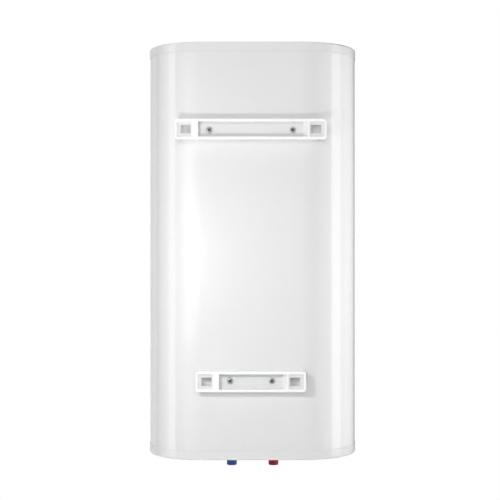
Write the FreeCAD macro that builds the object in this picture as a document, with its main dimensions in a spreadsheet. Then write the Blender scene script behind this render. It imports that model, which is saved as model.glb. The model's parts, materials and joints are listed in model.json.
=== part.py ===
import FreeCAD, Part
import math
import os
import re
import Sketcher
from FreeCAD import Rotation, Vector

# A flat, wall-hung storage water heater with two upright tanks side by side.
# Origin: on the wall plane, midway across, level with the middle of the upper bracket.
# +X across, +Y towards the wall, +Z up, millimetres. The cold side is +X, the hot side -X.

UP = Rotation()
TO_WALL = Rotation(Vector(1, 0, 0), -90)  # local z points at the wall
TO_ROOM = Rotation(Vector(1, 0, 0), 90)  # local z points into the room, local y up
UPSIDE_DOWN = Rotation(Vector(0, 1, 0), 180)  # local z points down, local y unchanged

DRIVING = {
    # case
    "lobe_spacing": 231.2,  # between the axes of the two round sides
    "shell_radius": 129.6,
    "shell_wall": 0.8,
    "body_height": 960,  # over both caps
    "cap_skirt": 22,  # height of a cap's side
    "cap_gap": 0.2,
    "cap_skirt_wall": 0.8,
    "cap_body_wall": 2.5,
    "cap_face_wall": 2.5,
    "cap_ledge": 8,  # how far the shell's edge stays from the cap's face
    "cap_edge_radius": 4.5,
    "hem_height": 1.8,
    "hem_proud": 0.3,
    "foam_gap": 0.3,
    "compartment_height": 70,
    # wall mounting
    "standoff": 36,  # wall to the back of the shell
    "hang_drop": 204.4,  # top of the case to the middle of the upper bracket
    "lower_bracket_lift": 183.6,  # case bottom to the middle of the lower bracket
    "bracket_height": 46.4,
    "upper_bracket_width": 343,
    "lower_bracket_width": 250,
    "bracket_wall": 2,
    "bracket_corner": 6,
    "rim_radius": 1.6,
    "pocket_size": 34.5,
    "pocket_corner": 2.5,
    "pocket_depth": 3.5,
    "upper_pocket_spacing": 300.5,
    "lower_pocket_spacing": 206,
    "hook_hole_width": 22.5,
    "hook_hole_height": 19,
    "hook_hole_inset": 2.7,  # how far the hole sits inwards from its pocket's middle
    "well_height": 34.5,
    "well_depth": 24,
    "well_ramp": 10,  # run of the sloping end wall, on the hot side
    "upper_well_length": 239,
    "lower_well_length": 144,
    "end_lip": 8,
    "upper_skirt_setback": 18,
    "lower_skirt_setback": 6,
    "shell_fit": 0.3,
    "upper_screw_spacing": 190,
    "lower_screw_spacing": 95,
    "screw_radius": 4,
    "screw_hole_gap": 0.25,
    "screw_head_radius": 7.5,
    "screw_head_height": 5,
    "screw_head_edge": 3,
    "screw_length": 24,
    "screw_point": 1,
    "recess_length": 8,
    "recess_width": 1.8,
    "recess_depth": 2.6,
    "boss_radius": 9,
    "boss_hole_gap": 0.5,
    "bar_length": 262,
    "bar_height": 40,
    "bar_thickness": 4,
    # tanks and pipes
    "tank_radius": 112,
    "tank_wall": 1.5,
    "tank_lift": 75,  # case bottom to the tank's flat bottom
    "tank_headroom": 35,  # tank top to the top of the case
    "tank_knuckle": 34,
    "neck_bore": 31.5,
    "neck_radius": 41,
    "neck_drop": 18,
    "link_radius": 11,
    "link_wall": 1.5,
    "link_stub": 6,  # how far a link pipe reaches into each tank
    "link_inset": 60,  # from the tank's ends to the link pipes
    "nipple_spacing": 100,
    "nipple_radius": 10.48,
    "nipple_bore": 8,
    "nipple_reach": 25,
    "nipple_stub": 14,
    "nipple_chamfer": 1.2,
    "pipe_fit": 0.05,
    "diffuser_radius": 15,
    "diffuser_height": 30,
    "diffuser_wall": 2,
    "diffuser_slot": 5,  # half the width of each slot
    "diffuser_rim": 3,  # above and below each slot
    "diffuser_lift": 1,
    "outlet_pipe_radius": 7.9,
    "outlet_pipe_wall": 1,
    "outlet_pipe_drop": 40,  # below the tank's inside top
    "grommet_radius": 14,
    "grommet_flange": 3,
    "grommet_lip": 2,
    "thread_cap_radius": 12,
    "thread_cap_length": 33.2,
    "thread_cap_floor": 2.2,
    "thread_cap_chamfer": 2.2,
    "thread_cap_fit": 0.27,
    "thread_cap_gap": 0.3,
    "rib_count": 30,
    "rib_groove": 0.45,
    # heating
    "gasket_thickness": 3,
    "flange_thickness": 4,
    "stud_count": 5,
    "stud_start_angle": 54,
    "stud_radius": 3,
    "stud_circle": 36.2,
    "stud_grip": 10,
    "stud_drop": 17,
    "nut_radius": 5.77,
    "nut_thickness": 5,
    "element_radius": 4,
    "element_spread": 12,
    "element_offset": 10,
    "element_height": 320,
    "element_tail": 16,
    "anode_radius": 10,
    "anode_offset": 17,
    "anode_length": 210,
    "anode_shoulder": 12,
    "pocket_tube_radius": 4,
    "pocket_tube_bore": 3,
    "pocket_tube_offset": 23,
    "pocket_tube_length": 240,
    "probe_radius": 2.6,
    "probe_length": 90,
    "cutout_width": 42,
    "cutout_depth": 26,
    "cutout_height": 25,
    "cutout_corner": 2,
    "cutout_offset": 60,
    "reset_radius": 5,
    "reset_gap": 0.3,
    "reset_head": 4,
    "reset_stem_radius": 2,
    "reset_stem": 6,
    "reset_travel": 1.5,
    "reset_recess": 0.5,
    # power entry
    "gland_offset": 18,
    "gland_radius": 12,
    "gland_head": 9,
    "gland_chamfer": 1,
    "gland_thread_radius": 8,
    "gland_bore": 4.5,
    "gland_length": 10,
    "gland_nut_radius": 12,
    "gland_nut_thickness": 5,
    "terminal_width": 44,
    "terminal_depth": 16,
    "terminal_height": 16,
    "terminal_corner": 2,
    "terminal_offset": 62,
    "terminal_pitch": 14,
    "terminal_hole": 2.5,
    "earth_offset": 62,
    "earth_radius": 3,
    "earth_nut_radius": 6,
    "earth_length": 12,
    "lead_radius": 1.8,
    "lead_bend": 5,
    "lead_run_height": 24,  # case bottom to the leads' level runs
    "lead_rise": 9,  # above the cut-out
    "feed_lead_shift": 8,  # block to cut-out
    "switched_lead_shift": 15,  # cut-out to the elements
    "switched_lead_step": 6,
    "switched_lead_bow": 40,
    "neutral_lead_shift": 17,  # block to the elements
    "neutral_lead_step": 10,
    "neutral_lead_bow": 46,
    "earth_lead_rise": 8,
    "earth_lead_step": 5,
    "earth_lead_bow": 12,
    "earth_lead_reach": 25,
    "panel_lead_step": 8,
    "post_spacing": 380,
    "post_radius": 5,
    "post_bore": 2,
    "cap_screw_head": 4,
    "cap_screw_head_height": 2.2,
    "cap_screw_length": 16,
    "cap_screw_gap": 0.3,
    # front control panel
    "panel_lift": 150,  # case bottom to the panel's middle
    "panel_width": 150,
    "panel_height": 70,
    "panel_depth": 3.5,
    "panel_corner": 8,
    "panel_edge": 1,
    "housing_width": 120,
    "housing_height": 60,
    "housing_depth": 26,
    "housing_wall": 2,
    "housing_corner": 4,
    "housing_gap": 1,
    "window_width": 50,
    "window_height": 24,
    "window_corner": 3,
    "window_thickness": 1.5,
    "window_shift": 30,
    "window_ledge": 2,
    "window_gap": 0.2,
    "board_gap": 2,
    "board_thickness": 1.6,
    "board_lift": 10,  # housing back to the board
    "board_post_radius": 3,
    "board_post_inset": 7,
    "display_margin": 1,
    "display_height": 7,
    "knob_shift": 40,
    "knob_radius": 17,
    "knob_height": 12,
    "knob_gap": 0.5,
    "knob_grip_count": 24,
    "knob_grip": 1.2,
    "knob_skirt": 2,  # plain rim below the grips
    "knob_face_wall": 2,
    "pointer_width": 1.6,
    "pointer_length": 8,
    "pointer_margin": 1,
    "pointer_depth": 0.8,
    "shaft_radius": 3,
    "shaft_fit": 0.05,
    "shaft_seat": 3,  # how deep the shaft stands in the encoder
    "shaft_hole_gap": 0.5,
    "encoder_width": 12,
    "encoder_height": 6.5,
    "button_shift": 10,
    "button_spacing": 28,
    "button_radius": 6,
    "button_gap": 0.3,
    "button_proud": 1.5,
    "button_flange": 1.5,
    "button_travel": 1,
    "button_stem_radius": 2,
    "switch_width": 6,
    "switch_height": 4,
}

DERIVED = {
    "body_top": "hang_drop",
    "body_bottom": "hang_drop - body_height",
    "bracket_spacing": "body_height - hang_drop - lower_bracket_lift",
    "tank_height": "body_height - tank_lift - tank_headroom",
    "axis_depth": "-standoff - shell_radius",
    "front_depth": "-standoff - 2 * shell_radius",
    "half_lobe": "lobe_spacing / 2",
    "half_nipple": "nipple_spacing / 2",
    "shell_low": "body_bottom + cap_ledge",
    "shell_length": "body_height - 2 * cap_ledge",
    "shell_inside": "shell_radius - shell_wall",
    "skirt_inside": "shell_radius + cap_gap",
    "skirt_radius": "skirt_inside + cap_skirt_wall",
    "hem_radius": "skirt_radius + hem_proud",
    "cap_inside": "shell_radius - cap_body_wall",
    "cap_floor": "body_bottom + cap_face_wall",
    "tank_low": "body_bottom + tank_lift",
    "foam_low": "body_bottom + compartment_height",
    "foam_length": "body_height - compartment_height - cap_ledge - foam_gap",
    "panel_level": "body_bottom + panel_lift",
    "gasket_level": "tank_low - neck_drop - gasket_thickness",
    "flange_level": "gasket_level - flange_thickness",
    "floor_depth": "well_depth + bracket_wall",
    "bar_depth": "axis_depth + tank_radius",
    "boss_length": "-floor_depth - bar_depth - bar_thickness",
    "grommet_hole": "nipple_radius + grommet_flange",
    "board_back": "housing_wall - housing_depth + board_lift",
    "board_face": "board_back + board_thickness",
    "switch_top": "board_face + switch_height",
    "knob_bore_depth": "knob_height - knob_grip - knob_face_wall",
    "pointer_end": "knob_radius - knob_grip - pointer_margin",
}

doc = FreeCAD.newDocument("WaterHeater")
sheet = doc.addObject("Spreadsheet::Sheet", "Sizes")
working = doc.addObject("Spreadsheet::Sheet", "Working")
NAMES = set(DRIVING) | set(DERIVED)
NAME = re.compile(r"[a-z][a-z_]*")
sub_parts = []


def fill_sheet():
    """Writes every size into the sheet, with its name beside it and as its alias."""
    rows = [(name, str(number)) for name, number in DRIVING.items()]
    rows += [(name, "=" + formula) for name, formula in DERIVED.items()]
    for row, (name, content) in enumerate(rows, 1):
        sheet.set(f"A{row}", name)
        sheet.set(f"B{row}", content)
        sheet.setAlias(f"B{row}", name)
    doc.recompute()


def tied(formula):
    """A formula of sheet sizes, as the other objects' expressions have to spell it."""
    return NAME.sub(lambda word: ("Sizes." if word.group() in NAMES else "") + word.group(), str(formula))


def value(formula):
    """The number that a formula of sheet sizes comes to."""
    working.set("A1", "=" + tied(formula))
    working.recompute()
    return float(working.get("A1"))


def place(made, x="0", y="0", z="0", turn=UP):
    """Stands an object at a point given by formulas."""
    made.Placement = FreeCAD.Placement(Vector(), turn)
    for axis, formula in zip("xyz", (x, y, z)):
        made.setExpression(f"Placement.Base.{axis}", tied(formula))
    return made


def new_body(label, x="0", y="0", z="0", turn=UP):
    """An empty body, placed and named."""
    body = doc.addObject("PartDesign::Body", label)
    body.Label = label
    return place(body, x, y, z, turn)


def finished(made):
    """Puts an object on the list of sub-parts that get a file."""
    doc.recompute()
    sub_parts.append(made)
    return made


def sketch_on(body, role="XY_Plane", shift="0"):
    """A sketch on one of the body's own planes, moved along that plane's normal."""
    sketch = body.newObject("Sketcher::SketchObject", "Outline")
    plane = next(feature for feature in body.Origin.OriginFeatures if feature.Role == role)
    sketch.AttachmentSupport = (plane, [""])
    sketch.MapMode = "FlatFace"
    sketch.setExpression("AttachmentOffset.Base.z", tied(shift))
    return sketch


def tie(sketch, kind, place_on, formula):
    """A dimension in a sketch that follows a formula."""
    number = value(formula)
    index = sketch.addConstraint(Sketcher.Constraint(kind, *place_on, number))
    sketch.setExpression(f"Constraints[{index}]", tied(formula))


def pin(sketch, geometry, point, x, y):
    """Holds one point of a sketch at x, y."""
    tie(sketch, "DistanceX", (-1, 1, geometry, point), x)
    tie(sketch, "DistanceY", (-1, 1, geometry, point), y)


def outline(sketch, points):
    """A closed outline of straight edges."""
    spots = [Vector(value(x), value(y), 0) for x, y in points]
    first = sketch.GeometryCount
    for start, end in zip(spots, spots[1:] + spots[:1]):
        sketch.addGeometry(Part.LineSegment(start, end))
    for n, (x, y) in enumerate(points):
        following = first + (n + 1) % len(points)
        sketch.addConstraint(Sketcher.Constraint("Coincident", first + n, 2, following, 1))
        pin(sketch, first + n, 1, x, y)


def rectangle(sketch, left, right, low, high):
    """A plain rectangle between four formulas."""
    outline(sketch, [(left, low), (right, low), (right, high), (left, high)])


def circle(sketch, x, y, radius):
    """A circle with its centre held at x, y."""
    spot = Vector(value(x), value(y), 0)
    index = sketch.addGeometry(Part.Circle(spot, Vector(0, 0, 1), value(radius)))
    pin(sketch, index, 3, x, y)
    tie(sketch, "Radius", (index,), radius)


def arcs_and_lines(sketch, centres, radius, sweep):
    """Equal arcs, each sweeping the same angle, joined in turn by tangent lines."""
    size = value(radius)
    count = len(centres)
    first = sketch.GeometryCount
    spots = [Vector(value(x), value(y), 0) for x, y, _ in centres]
    ends = []
    for spot, (_, _, start) in zip(spots, centres):
        low, high = math.radians(start), math.radians(start + sweep)
        sketch.addGeometry(Part.ArcOfCircle(Part.Circle(spot, Vector(0, 0, 1), size), low, high))
        ends.append([spot + Vector(math.cos(a), math.sin(a), 0) * size for a in (low, high)])
    for n in range(count):
        line = sketch.addGeometry(Part.LineSegment(ends[n][1], ends[(n + 1) % count][0]))
        sketch.addConstraint(Sketcher.Constraint("Tangent", first + n, 2, line, 1))
        sketch.addConstraint(Sketcher.Constraint("Tangent", line, 2, first + (n + 1) % count, 1))
        pin(sketch, first + n, 3, centres[n][0], centres[n][1])
        if n:
            sketch.addConstraint(Sketcher.Constraint("Equal", first, first + n))
    tie(sketch, "Radius", (first,), radius)


def stadium(sketch, radius, y="0"):
    """The case's section: two round ends joined by flat sides."""
    arcs_and_lines(sketch, [("half_lobe", y, -90), ("-half_lobe", y, 90)], radius, 180)


def rounded(sketch, width, height, corner, x="0", y="0"):
    """A rectangle with round corners."""
    half_width = f"({width}) / 2 - ({corner})"
    half_height = f"({height}) / 2 - ({corner})"
    left, right = f"{x} - ({half_width})", f"{x} + ({half_width})"
    low, high = f"{y} - ({half_height})", f"{y} + ({half_height})"
    corners = [(right, high, 0), (left, high, 90), (left, low, 180), (right, low, 270)]
    arcs_and_lines(sketch, corners, corner, 90)


def polygon(sketch, sides, radius, x="0", y="0"):
    """A regular polygon with its corners on a circle."""
    turns = [f"{360 / sides * n}" for n in range(sides)]
    outline(sketch, [(f"{x} + {radius} * cos({a})", f"{y} + {radius} * sin({a})") for a in turns])


def pad(body, sketch, length, back=False):
    """Adds a sketch's outline, pulled along its normal, or against it with back."""
    made = body.newObject("PartDesign::Pad", "Pad")
    made.Profile = sketch
    made.setExpression("Length", tied(length))
    made.Reversed = back
    return made


def pocket(body, sketch, depth=None, along=False, both=False):
    """Cuts a sketch's outline against its normal, along it, or both ways."""
    made = body.newObject("PartDesign::Pocket", "Pocket")
    made.Profile = sketch
    if depth is None:
        made.Type = "ThroughAll"
    else:
        made.setExpression("Length", tied(depth))
    made.Reversed = along
    made.Midplane = both
    return made


def revolve(body, points):
    """Turns a straight-edged outline of (radius, height) points round the body's z axis."""
    sketch = sketch_on(body, "XZ_Plane")
    outline(sketch, points)
    made = body.newObject("PartDesign::Revolution", "Revolution")
    made.Profile = sketch
    made.ReferenceAxis = (sketch, ["V_Axis"])
    made.Angle = 360
    return made


def turned(label, points, x="0", y="0", z="0", turn=UP):
    """A body turned from one outline."""
    body = new_body(label, x, y, z, turn)
    revolve(body, points)
    return body


def tube(inside, outside, low, high):
    """The outline of a plain ring or tube."""
    return [(inside, low), (outside, low), (outside, high), (inside, high)]


def loft(body, kind, lower, upper):
    """A straight-sided loft between two rectangles, each (left, right, low, high, level)."""
    sections = []
    for left, right, low, high, level in (lower, upper):
        sketch = sketch_on(body, shift=level)
        rectangle(sketch, left, right, low, high)
        sections.append(sketch)
    made = body.newObject(kind, "Loft")
    made.Profile = sections[0]
    made.Sections = [sections[1]]
    made.Ruled = True
    return made


def soften(body, kind, size, chosen):
    """A fillet or chamfer on the edges of the body so far that chosen picks."""
    doc.recompute()
    tip = body.Tip
    names = [f"Edge{n}" for n, edge in enumerate(tip.Shape.Edges, 1) if chosen(edge)]
    made = body.newObject(kind, "Softened")
    made.Base = (tip, names)
    made.setExpression("Radius" if kind.endswith("Fillet") else "Size", tied(size))
    return made


def level_edges(*levels):
    """Picks the edges that lie flat at one of these heights."""
    heights = [value(level) for level in levels]

    def chosen(edge):
        box = edge.BoundBox
        return box.ZLength < 1e-4 and any(abs(box.ZMin - height) < 1e-3 for height in heights)

    return chosen


def round_edges(*rims):
    """Picks the circular edges round the z axis with these (radius, height) pairs."""
    wanted = [(value(radius), value(height)) for radius, height in rims]

    def chosen(edge):
        if not isinstance(edge.Curve, Part.Circle):
            return False
        centre = edge.Curve.Center
        return any(
            abs(edge.Curve.Radius - radius) < 1e-3 and abs(centre.z - height) < 1e-3
            for radius, height in wanted
        )

    return chosen


def group(label, members):
    """Separate equal solids that share one node."""
    made = doc.addObject("Part::Compound", label)
    made.Label = label
    made.Links = members
    return finished(made)


# Case


def outer_shell():
    """Painted sheet wrapped round the foam, open at both ends, with the holes that pass through it."""
    body = new_body("outer_shell", y="axis_depth", z="shell_low")
    section = sketch_on(body)
    stadium(section, "shell_radius")
    stadium(section, "shell_inside")
    pad(body, section, "shell_length")
    holes = sketch_on(body, "XZ_Plane")
    for spacing, level in (("upper_screw_spacing", "0"), ("lower_screw_spacing", "-bracket_spacing")):
        for side in "-", "":
            circle(holes, f"{side}{spacing} / 2", f"{level} - shell_low", "boss_radius + boss_hole_gap")
    pocket(body, holes)
    window = sketch_on(body, "XZ_Plane")
    room = "2 * housing_gap"
    rounded(window, f"housing_width + {room}", f"housing_height + {room}", "housing_corner + housing_gap",
            y="panel_level - shell_low")
    pocket(body, window, along=True)
    finished(body)


def end_cap(label, z, turn):
    """A moulded cap: its skirt goes over the shell, whose edge stands on a ledge inside."""
    body = new_body(label, y="axis_depth", z=z, turn=turn)
    skirt = sketch_on(body)
    stadium(skirt, "skirt_radius")
    pad(body, skirt, "cap_skirt")
    soften(body, "PartDesign::Fillet", "cap_edge_radius", level_edges("cap_skirt"))
    hem = sketch_on(body)
    stadium(hem, "hem_radius")
    pad(body, hem, "hem_height")
    rebate = sketch_on(body)
    stadium(rebate, "skirt_inside")
    pocket(body, rebate, "cap_skirt - cap_ledge", along=True)
    hollow = sketch_on(body)
    stadium(hollow, "cap_inside")
    pocket(body, hollow, "cap_skirt - cap_face_wall", along=True)
    return body


def bottom_cap():
    """The lower cap, with holes for both pipes, the cable, the reset button and two screws."""
    body = end_cap("bottom_cap", "body_bottom + cap_skirt", UPSIDE_DOWN)
    holes = sketch_on(body)
    for side in "-", "":
        circle(holes, f"{side}half_nipple", "0", "grommet_hole")
        circle(holes, f"{side}post_spacing / 2", "0", "post_bore + cap_screw_gap")
    circle(holes, "0", "gland_offset", "gland_thread_radius + cap_screw_gap")
    circle(holes, "0", "-cutout_offset", "reset_radius + reset_gap")
    pocket(body, holes, along=True)
    finished(body)


def foam_insulation():
    """Foam that fills the shell round both tanks, with room for the bars, the housing and its lead."""
    body = new_body("foam_insulation", y="axis_depth", z="foam_low")
    block = sketch_on(body)
    stadium(block, "shell_inside - foam_gap")
    pad(body, block, "foam_length")
    tanks = sketch_on(body)
    for side in "-", "":
        circle(tanks, f"{side}half_lobe", "0", "tank_radius + foam_gap")
    pocket(body, tanks, "tank_lift + tank_height + foam_gap - compartment_height", along=True)
    bars = sketch_on(body, "XZ_Plane")
    for level in "0", "-bracket_spacing":
        reach, rise = "bar_length / 2 + foam_gap", "bar_height / 2 + foam_gap"
        middle = f"{level} - foam_low"
        rectangle(bars, f"-({reach})", reach, f"{middle} - ({rise})", f"{middle} + {rise}")
    pocket(body, bars)
    front = sketch_on(body, "XZ_Plane")
    middle = "panel_level - foam_low"
    half_width, half_height = "housing_width / 2 + housing_gap", "housing_height / 2 + housing_gap"
    channel = "2 * lead_radius + housing_gap"
    outline(front, [
        (f"-({channel})", "-foam_gap"), (channel, "-foam_gap"),
        (channel, f"{middle} - ({half_height})"), (half_width, f"{middle} - ({half_height})"),
        (half_width, f"{middle} + {half_height}"), (f"-({half_width})", f"{middle} + {half_height}"),
        (f"-({half_width})", f"{middle} - ({half_height})"), (f"-({channel})", f"{middle} - ({half_height})"),
    ])
    pocket(body, front, along=True)
    links = sketch_on(body, "YZ_Plane")
    for level in link_levels():
        circle(links, "0", f"{level} - foam_low", "link_radius + foam_gap")
    pocket(body, links, "half_lobe", both=True)
    finished(body)


def fixings_for_the_bottom_cap():
    """Two threaded posts that hang from the tanks, and the screws that hold the cap to them."""
    posts, screws = [], []
    for n, side in enumerate(("-", "")):
        x = f"{side}post_spacing / 2"
        tall = "tank_low - cap_floor"
        posts.append(turned(f"cap_post_{n}", tube("post_bore", "post_radius", "0", tall),
                            x, "axis_depth", "cap_floor"))
        head, under = "-cap_screw_head_height", "0"
        screw = [("0", head), ("cap_screw_head", head), ("cap_screw_head", under), ("post_bore", under),
                 ("post_bore", "cap_screw_length"), ("0", "cap_screw_length")]
        screws.append(turned(f"cap_screw_{n}", screw, x, "axis_depth", "body_bottom"))
    group("cap_posts", posts)
    group("cap_screws", screws)


# Tanks and pipes


def link_levels():
    """Heights of the lower and the upper link pipe."""
    return ["tank_low + link_inset", "tank_low + tank_height - link_inset"]


def tank(label, side):
    """A stainless tank with rounded ends, a flange neck below, and holes for its pipes.
    side is -1 on the hot side and 1 on the cold side."""
    body = new_body(label, f"{side} * half_lobe", "axis_depth", "tank_low")
    inside, top = "tank_radius - tank_wall", "tank_height - tank_wall"
    revolve(body, [
        ("neck_bore", "-neck_drop"), ("neck_radius", "-neck_drop"), ("neck_radius", "0"),
        ("tank_radius", "0"), ("tank_radius", "tank_height"), ("0", "tank_height"),
        ("0", top), (inside, top), (inside, "tank_wall"), ("neck_bore", "tank_wall"),
    ])
    soften(body, "PartDesign::Fillet", "tank_knuckle",
           round_edges(("tank_radius", "0"), ("tank_radius", "tank_height")))
    soften(body, "PartDesign::Fillet", "tank_knuckle - tank_wall",
           round_edges((inside, "tank_wall"), (inside, top)))
    pipe = sketch_on(body)
    circle(pipe, f"{side} * (half_nipple - half_lobe)", "0", "nipple_radius")
    pocket(body, pipe, "tank_wall * 2", along=True)
    links = sketch_on(body, "YZ_Plane")
    for level in link_levels():
        circle(links, "0", f"{level} - tank_low", "link_radius")
    pocket(body, links, along=side < 0)
    studs = sketch_on(body, shift="-neck_drop")
    for x, y in stud_spots():
        circle(studs, x, y, "stud_radius")
    pocket(body, studs, "stud_grip", along=True)
    finished(body)


def link_pipe(label, level):
    """A short pipe that joins the two tanks."""
    across = "lobe_spacing - 2 * tank_radius + 2 * link_stub"
    turn = Rotation(Vector(0, 1, 0), 90)
    outline_points = tube("link_radius - link_wall", "link_radius", "0", across)
    finished(turned(label, outline_points, f"-({across}) / 2", "axis_depth", level, turn))


def nipple(label, side):
    """A threaded pipe end that passes through the bottom cap into its tank."""
    low, high = "-nipple_reach", "tank_lift + tank_wall + nipple_stub"
    points = [
        ("nipple_bore", low), ("nipple_radius - nipple_chamfer", low),
        ("nipple_radius", f"{low} + nipple_chamfer"), ("nipple_radius", high), ("nipple_bore", high),
    ]
    finished(turned(label, points, f"{side} * half_nipple", "axis_depth", "body_bottom"))


def inlet_diffuser():
    """A slotted cup on the cold pipe that spreads the water along the tank's bottom."""
    seat = "nipple_radius + pipe_fit"
    top = "diffuser_height"
    body = new_body("inlet_diffuser", "half_nipple", "axis_depth", "tank_low + tank_wall + diffuser_lift")
    revolve(body, [
        (seat, "0"), (f"{seat} + diffuser_wall", "0"),
        (f"{seat} + diffuser_wall", "nipple_stub - diffuser_wall"),
        ("diffuser_radius", "nipple_stub"), ("diffuser_radius", top), ("0", top),
        ("0", f"{top} - diffuser_wall"), ("diffuser_radius - diffuser_wall", f"{top} - diffuser_wall"),
        ("diffuser_radius - diffuser_wall", "nipple_stub"), (seat, "nipple_stub - diffuser_wall / 2"),
    ])
    slots = sketch_on(body, "XZ_Plane")
    rectangle(slots, "-diffuser_slot", "diffuser_slot",
              "nipple_stub + diffuser_rim", f"{top} - diffuser_wall - diffuser_rim")
    pocket(body, slots, "4 * diffuser_radius", both=True)
    finished(body)


def hot_outlet_pipe():
    """A long pipe that takes the hottest water from the top of its tank."""
    top = "tank_lift + tank_height - tank_wall - outlet_pipe_drop"
    points = tube("outlet_pipe_radius - outlet_pipe_wall", "outlet_pipe_radius", "tank_lift", top)
    finished(turned("hot_outlet_pipe", points, "-half_nipple", "axis_depth", "body_bottom"))


def nipple_grommets():
    """Rubber rings in the bottom cap, one round each pipe, flush below and lipped above."""
    inside, outside = "nipple_radius + pipe_fit", "grommet_hole"
    lip = "grommet_radius + grommet_lip"
    lift = "cap_face_wall + grommet_lip"
    points = [(inside, "0"), (outside, "0"), (outside, "cap_face_wall"), (lip, "cap_face_wall"),
              (lip, lift), (inside, lift)]
    rings = [turned(f"grommet_{n}", points, f"{side}half_nipple", "axis_depth", "body_bottom")
             for n, side in enumerate(("-", ""))]
    group("nipple_grommets", rings)


def thread_cap(label, side):
    """A ribbed push-on cap that guards a pipe's thread until it is connected."""
    body = new_body(label, f"{side} * half_nipple", "axis_depth", "body_bottom - thread_cap_gap")
    inside = "nipple_radius + thread_cap_fit"
    low, radius = "-thread_cap_length", "thread_cap_radius"
    revolve(body, [
        ("0", low), (f"{radius} - thread_cap_chamfer", low), (radius, f"{low} + thread_cap_chamfer"),
        (radius, "0"), (inside, "0"),
        (inside, f"{low} + thread_cap_floor"), ("0", f"{low} + thread_cap_floor"),
    ])
    groove = sketch_on(body)
    circle(groove, "thread_cap_radius + rib_groove / 3", "0", "rib_groove")
    cut = pocket(body, groove, "thread_cap_length")
    pattern = body.newObject("PartDesign::PolarPattern", "Ribs")
    pattern.Originals = [cut]
    axis = next(feature for feature in body.Origin.OriginFeatures if feature.Role == "Z_Axis")
    pattern.Axis = (axis, [""])
    pattern.Angle = 360
    pattern.setExpression("Occurrences", tied("rib_count"))
    body.Tip = pattern
    finished(body)


# Heating


def stud_spots():
    """Where the flange studs stand round a tank's axis."""
    count = round(value("stud_count"))
    turns = [value("stud_start_angle") + 360 / count * n for n in range(count)]
    return [(f"stud_circle * cos({a})", f"stud_circle * sin({a})") for a in turns]


def gasket(label, side):
    """A flat rubber ring between a tank's neck and its flange."""
    body = new_body(label, f"{side} * half_lobe", "axis_depth", "gasket_level")
    ring = sketch_on(body)
    circle(ring, "0", "0", "neck_radius")
    circle(ring, "0", "0", "neck_bore")
    for x, y in stud_spots():
        circle(ring, x, y, "stud_radius")
    pad(body, ring, "gasket_thickness")
    finished(body)


def flange(label, side):
    """The steel plate that closes a neck and carries the element, the anode and the sensor pocket."""
    body = new_body(label, f"{side} * half_lobe", "axis_depth", "flange_level")
    plate = sketch_on(body)
    circle(plate, "0", "0", "neck_radius")
    for x, y in stud_spots():
        circle(plate, x, y, "stud_radius")
    for leg in "-", "":
        circle(plate, f"{leg}element_spread", "element_offset", "element_radius")
    circle(plate, "0", "-anode_offset", "stud_radius")
    circle(plate, "0", "pocket_tube_offset", "pocket_tube_radius")
    pad(body, plate, "flange_thickness")
    finished(body)


def both_sides(label, draw, level, length):
    """One node with the same solids at both tanks, each pulled up from level by length."""
    body = new_body(label, "0", "axis_depth", level)
    sketch = sketch_on(body)
    for middle in "-half_lobe", "half_lobe":
        for x, y in stud_spots():
            draw(sketch, f"{middle} + {x}", y)
    pad(body, sketch, length)
    finished(body)


def stud_section(sketch, x, y):
    """One stud, seen from below."""
    circle(sketch, x, y, "stud_radius")


def nut_section(sketch, x, y):
    """One nut, seen from below."""
    polygon(sketch, 6, "nut_radius", x, y)
    circle(sketch, x, y, "stud_radius")


def flange_fasteners():
    """Studs welded into both necks, and the nuts that clamp the flanges."""
    both_sides("flange_studs", stud_section, "tank_low - neck_drop - stud_drop", "stud_drop + stud_grip")
    both_sides("flange_nuts", nut_section, "flange_level - nut_thickness", "nut_thickness")


def heating_element(label, side):
    """A sheathed element bent to a U, whose two tails pass through the flange."""
    body = new_body(label, f"{side} * half_lobe", "axis_depth + element_offset", "flange_level")
    path = sketch_on(body, "XZ_Plane")
    spread, top, low = value("element_spread"), value("element_height"), -value("element_tail")
    path.addGeometry(Part.LineSegment(Vector(-spread, low, 0), Vector(-spread, top, 0)))
    bend = Part.Circle(Vector(0, top, 0), Vector(0, 0, 1), spread)
    path.addGeometry(Part.ArcOfCircle(bend, 0, math.pi))
    path.addGeometry(Part.LineSegment(Vector(spread, top, 0), Vector(spread, low, 0)))
    path.addConstraint(Sketcher.Constraint("Tangent", 0, 2, 1, 2))
    path.addConstraint(Sketcher.Constraint("Tangent", 1, 1, 2, 1))
    pin(path, 0, 1, "-element_spread", "-element_tail")
    pin(path, 2, 2, "element_spread", "-element_tail")
    pin(path, 1, 3, "0", "element_height")
    tie(path, "Radius", (1,), "element_spread")
    section = sketch_on(body, shift="-element_tail")
    circle(section, "-element_spread", "0", "element_radius")
    pipe = body.newObject("PartDesign::AdditivePipe", "Sheath")
    pipe.Profile = section
    pipe.Spine = (path, [])
    finished(body)


def anode(label, side):
    """A magnesium rod that guards the tank from rust, screwed into the flange by its stud."""
    points = [
        ("0", "-nut_thickness"), ("stud_radius", "-nut_thickness"), ("stud_radius", "anode_shoulder"),
        ("anode_radius", "anode_shoulder"), ("anode_radius", "anode_length"), ("0", "anode_length"),
    ]
    y = "axis_depth - anode_offset"
    finished(turned(label, points, f"{side} * half_lobe", y, "flange_level"))


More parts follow.
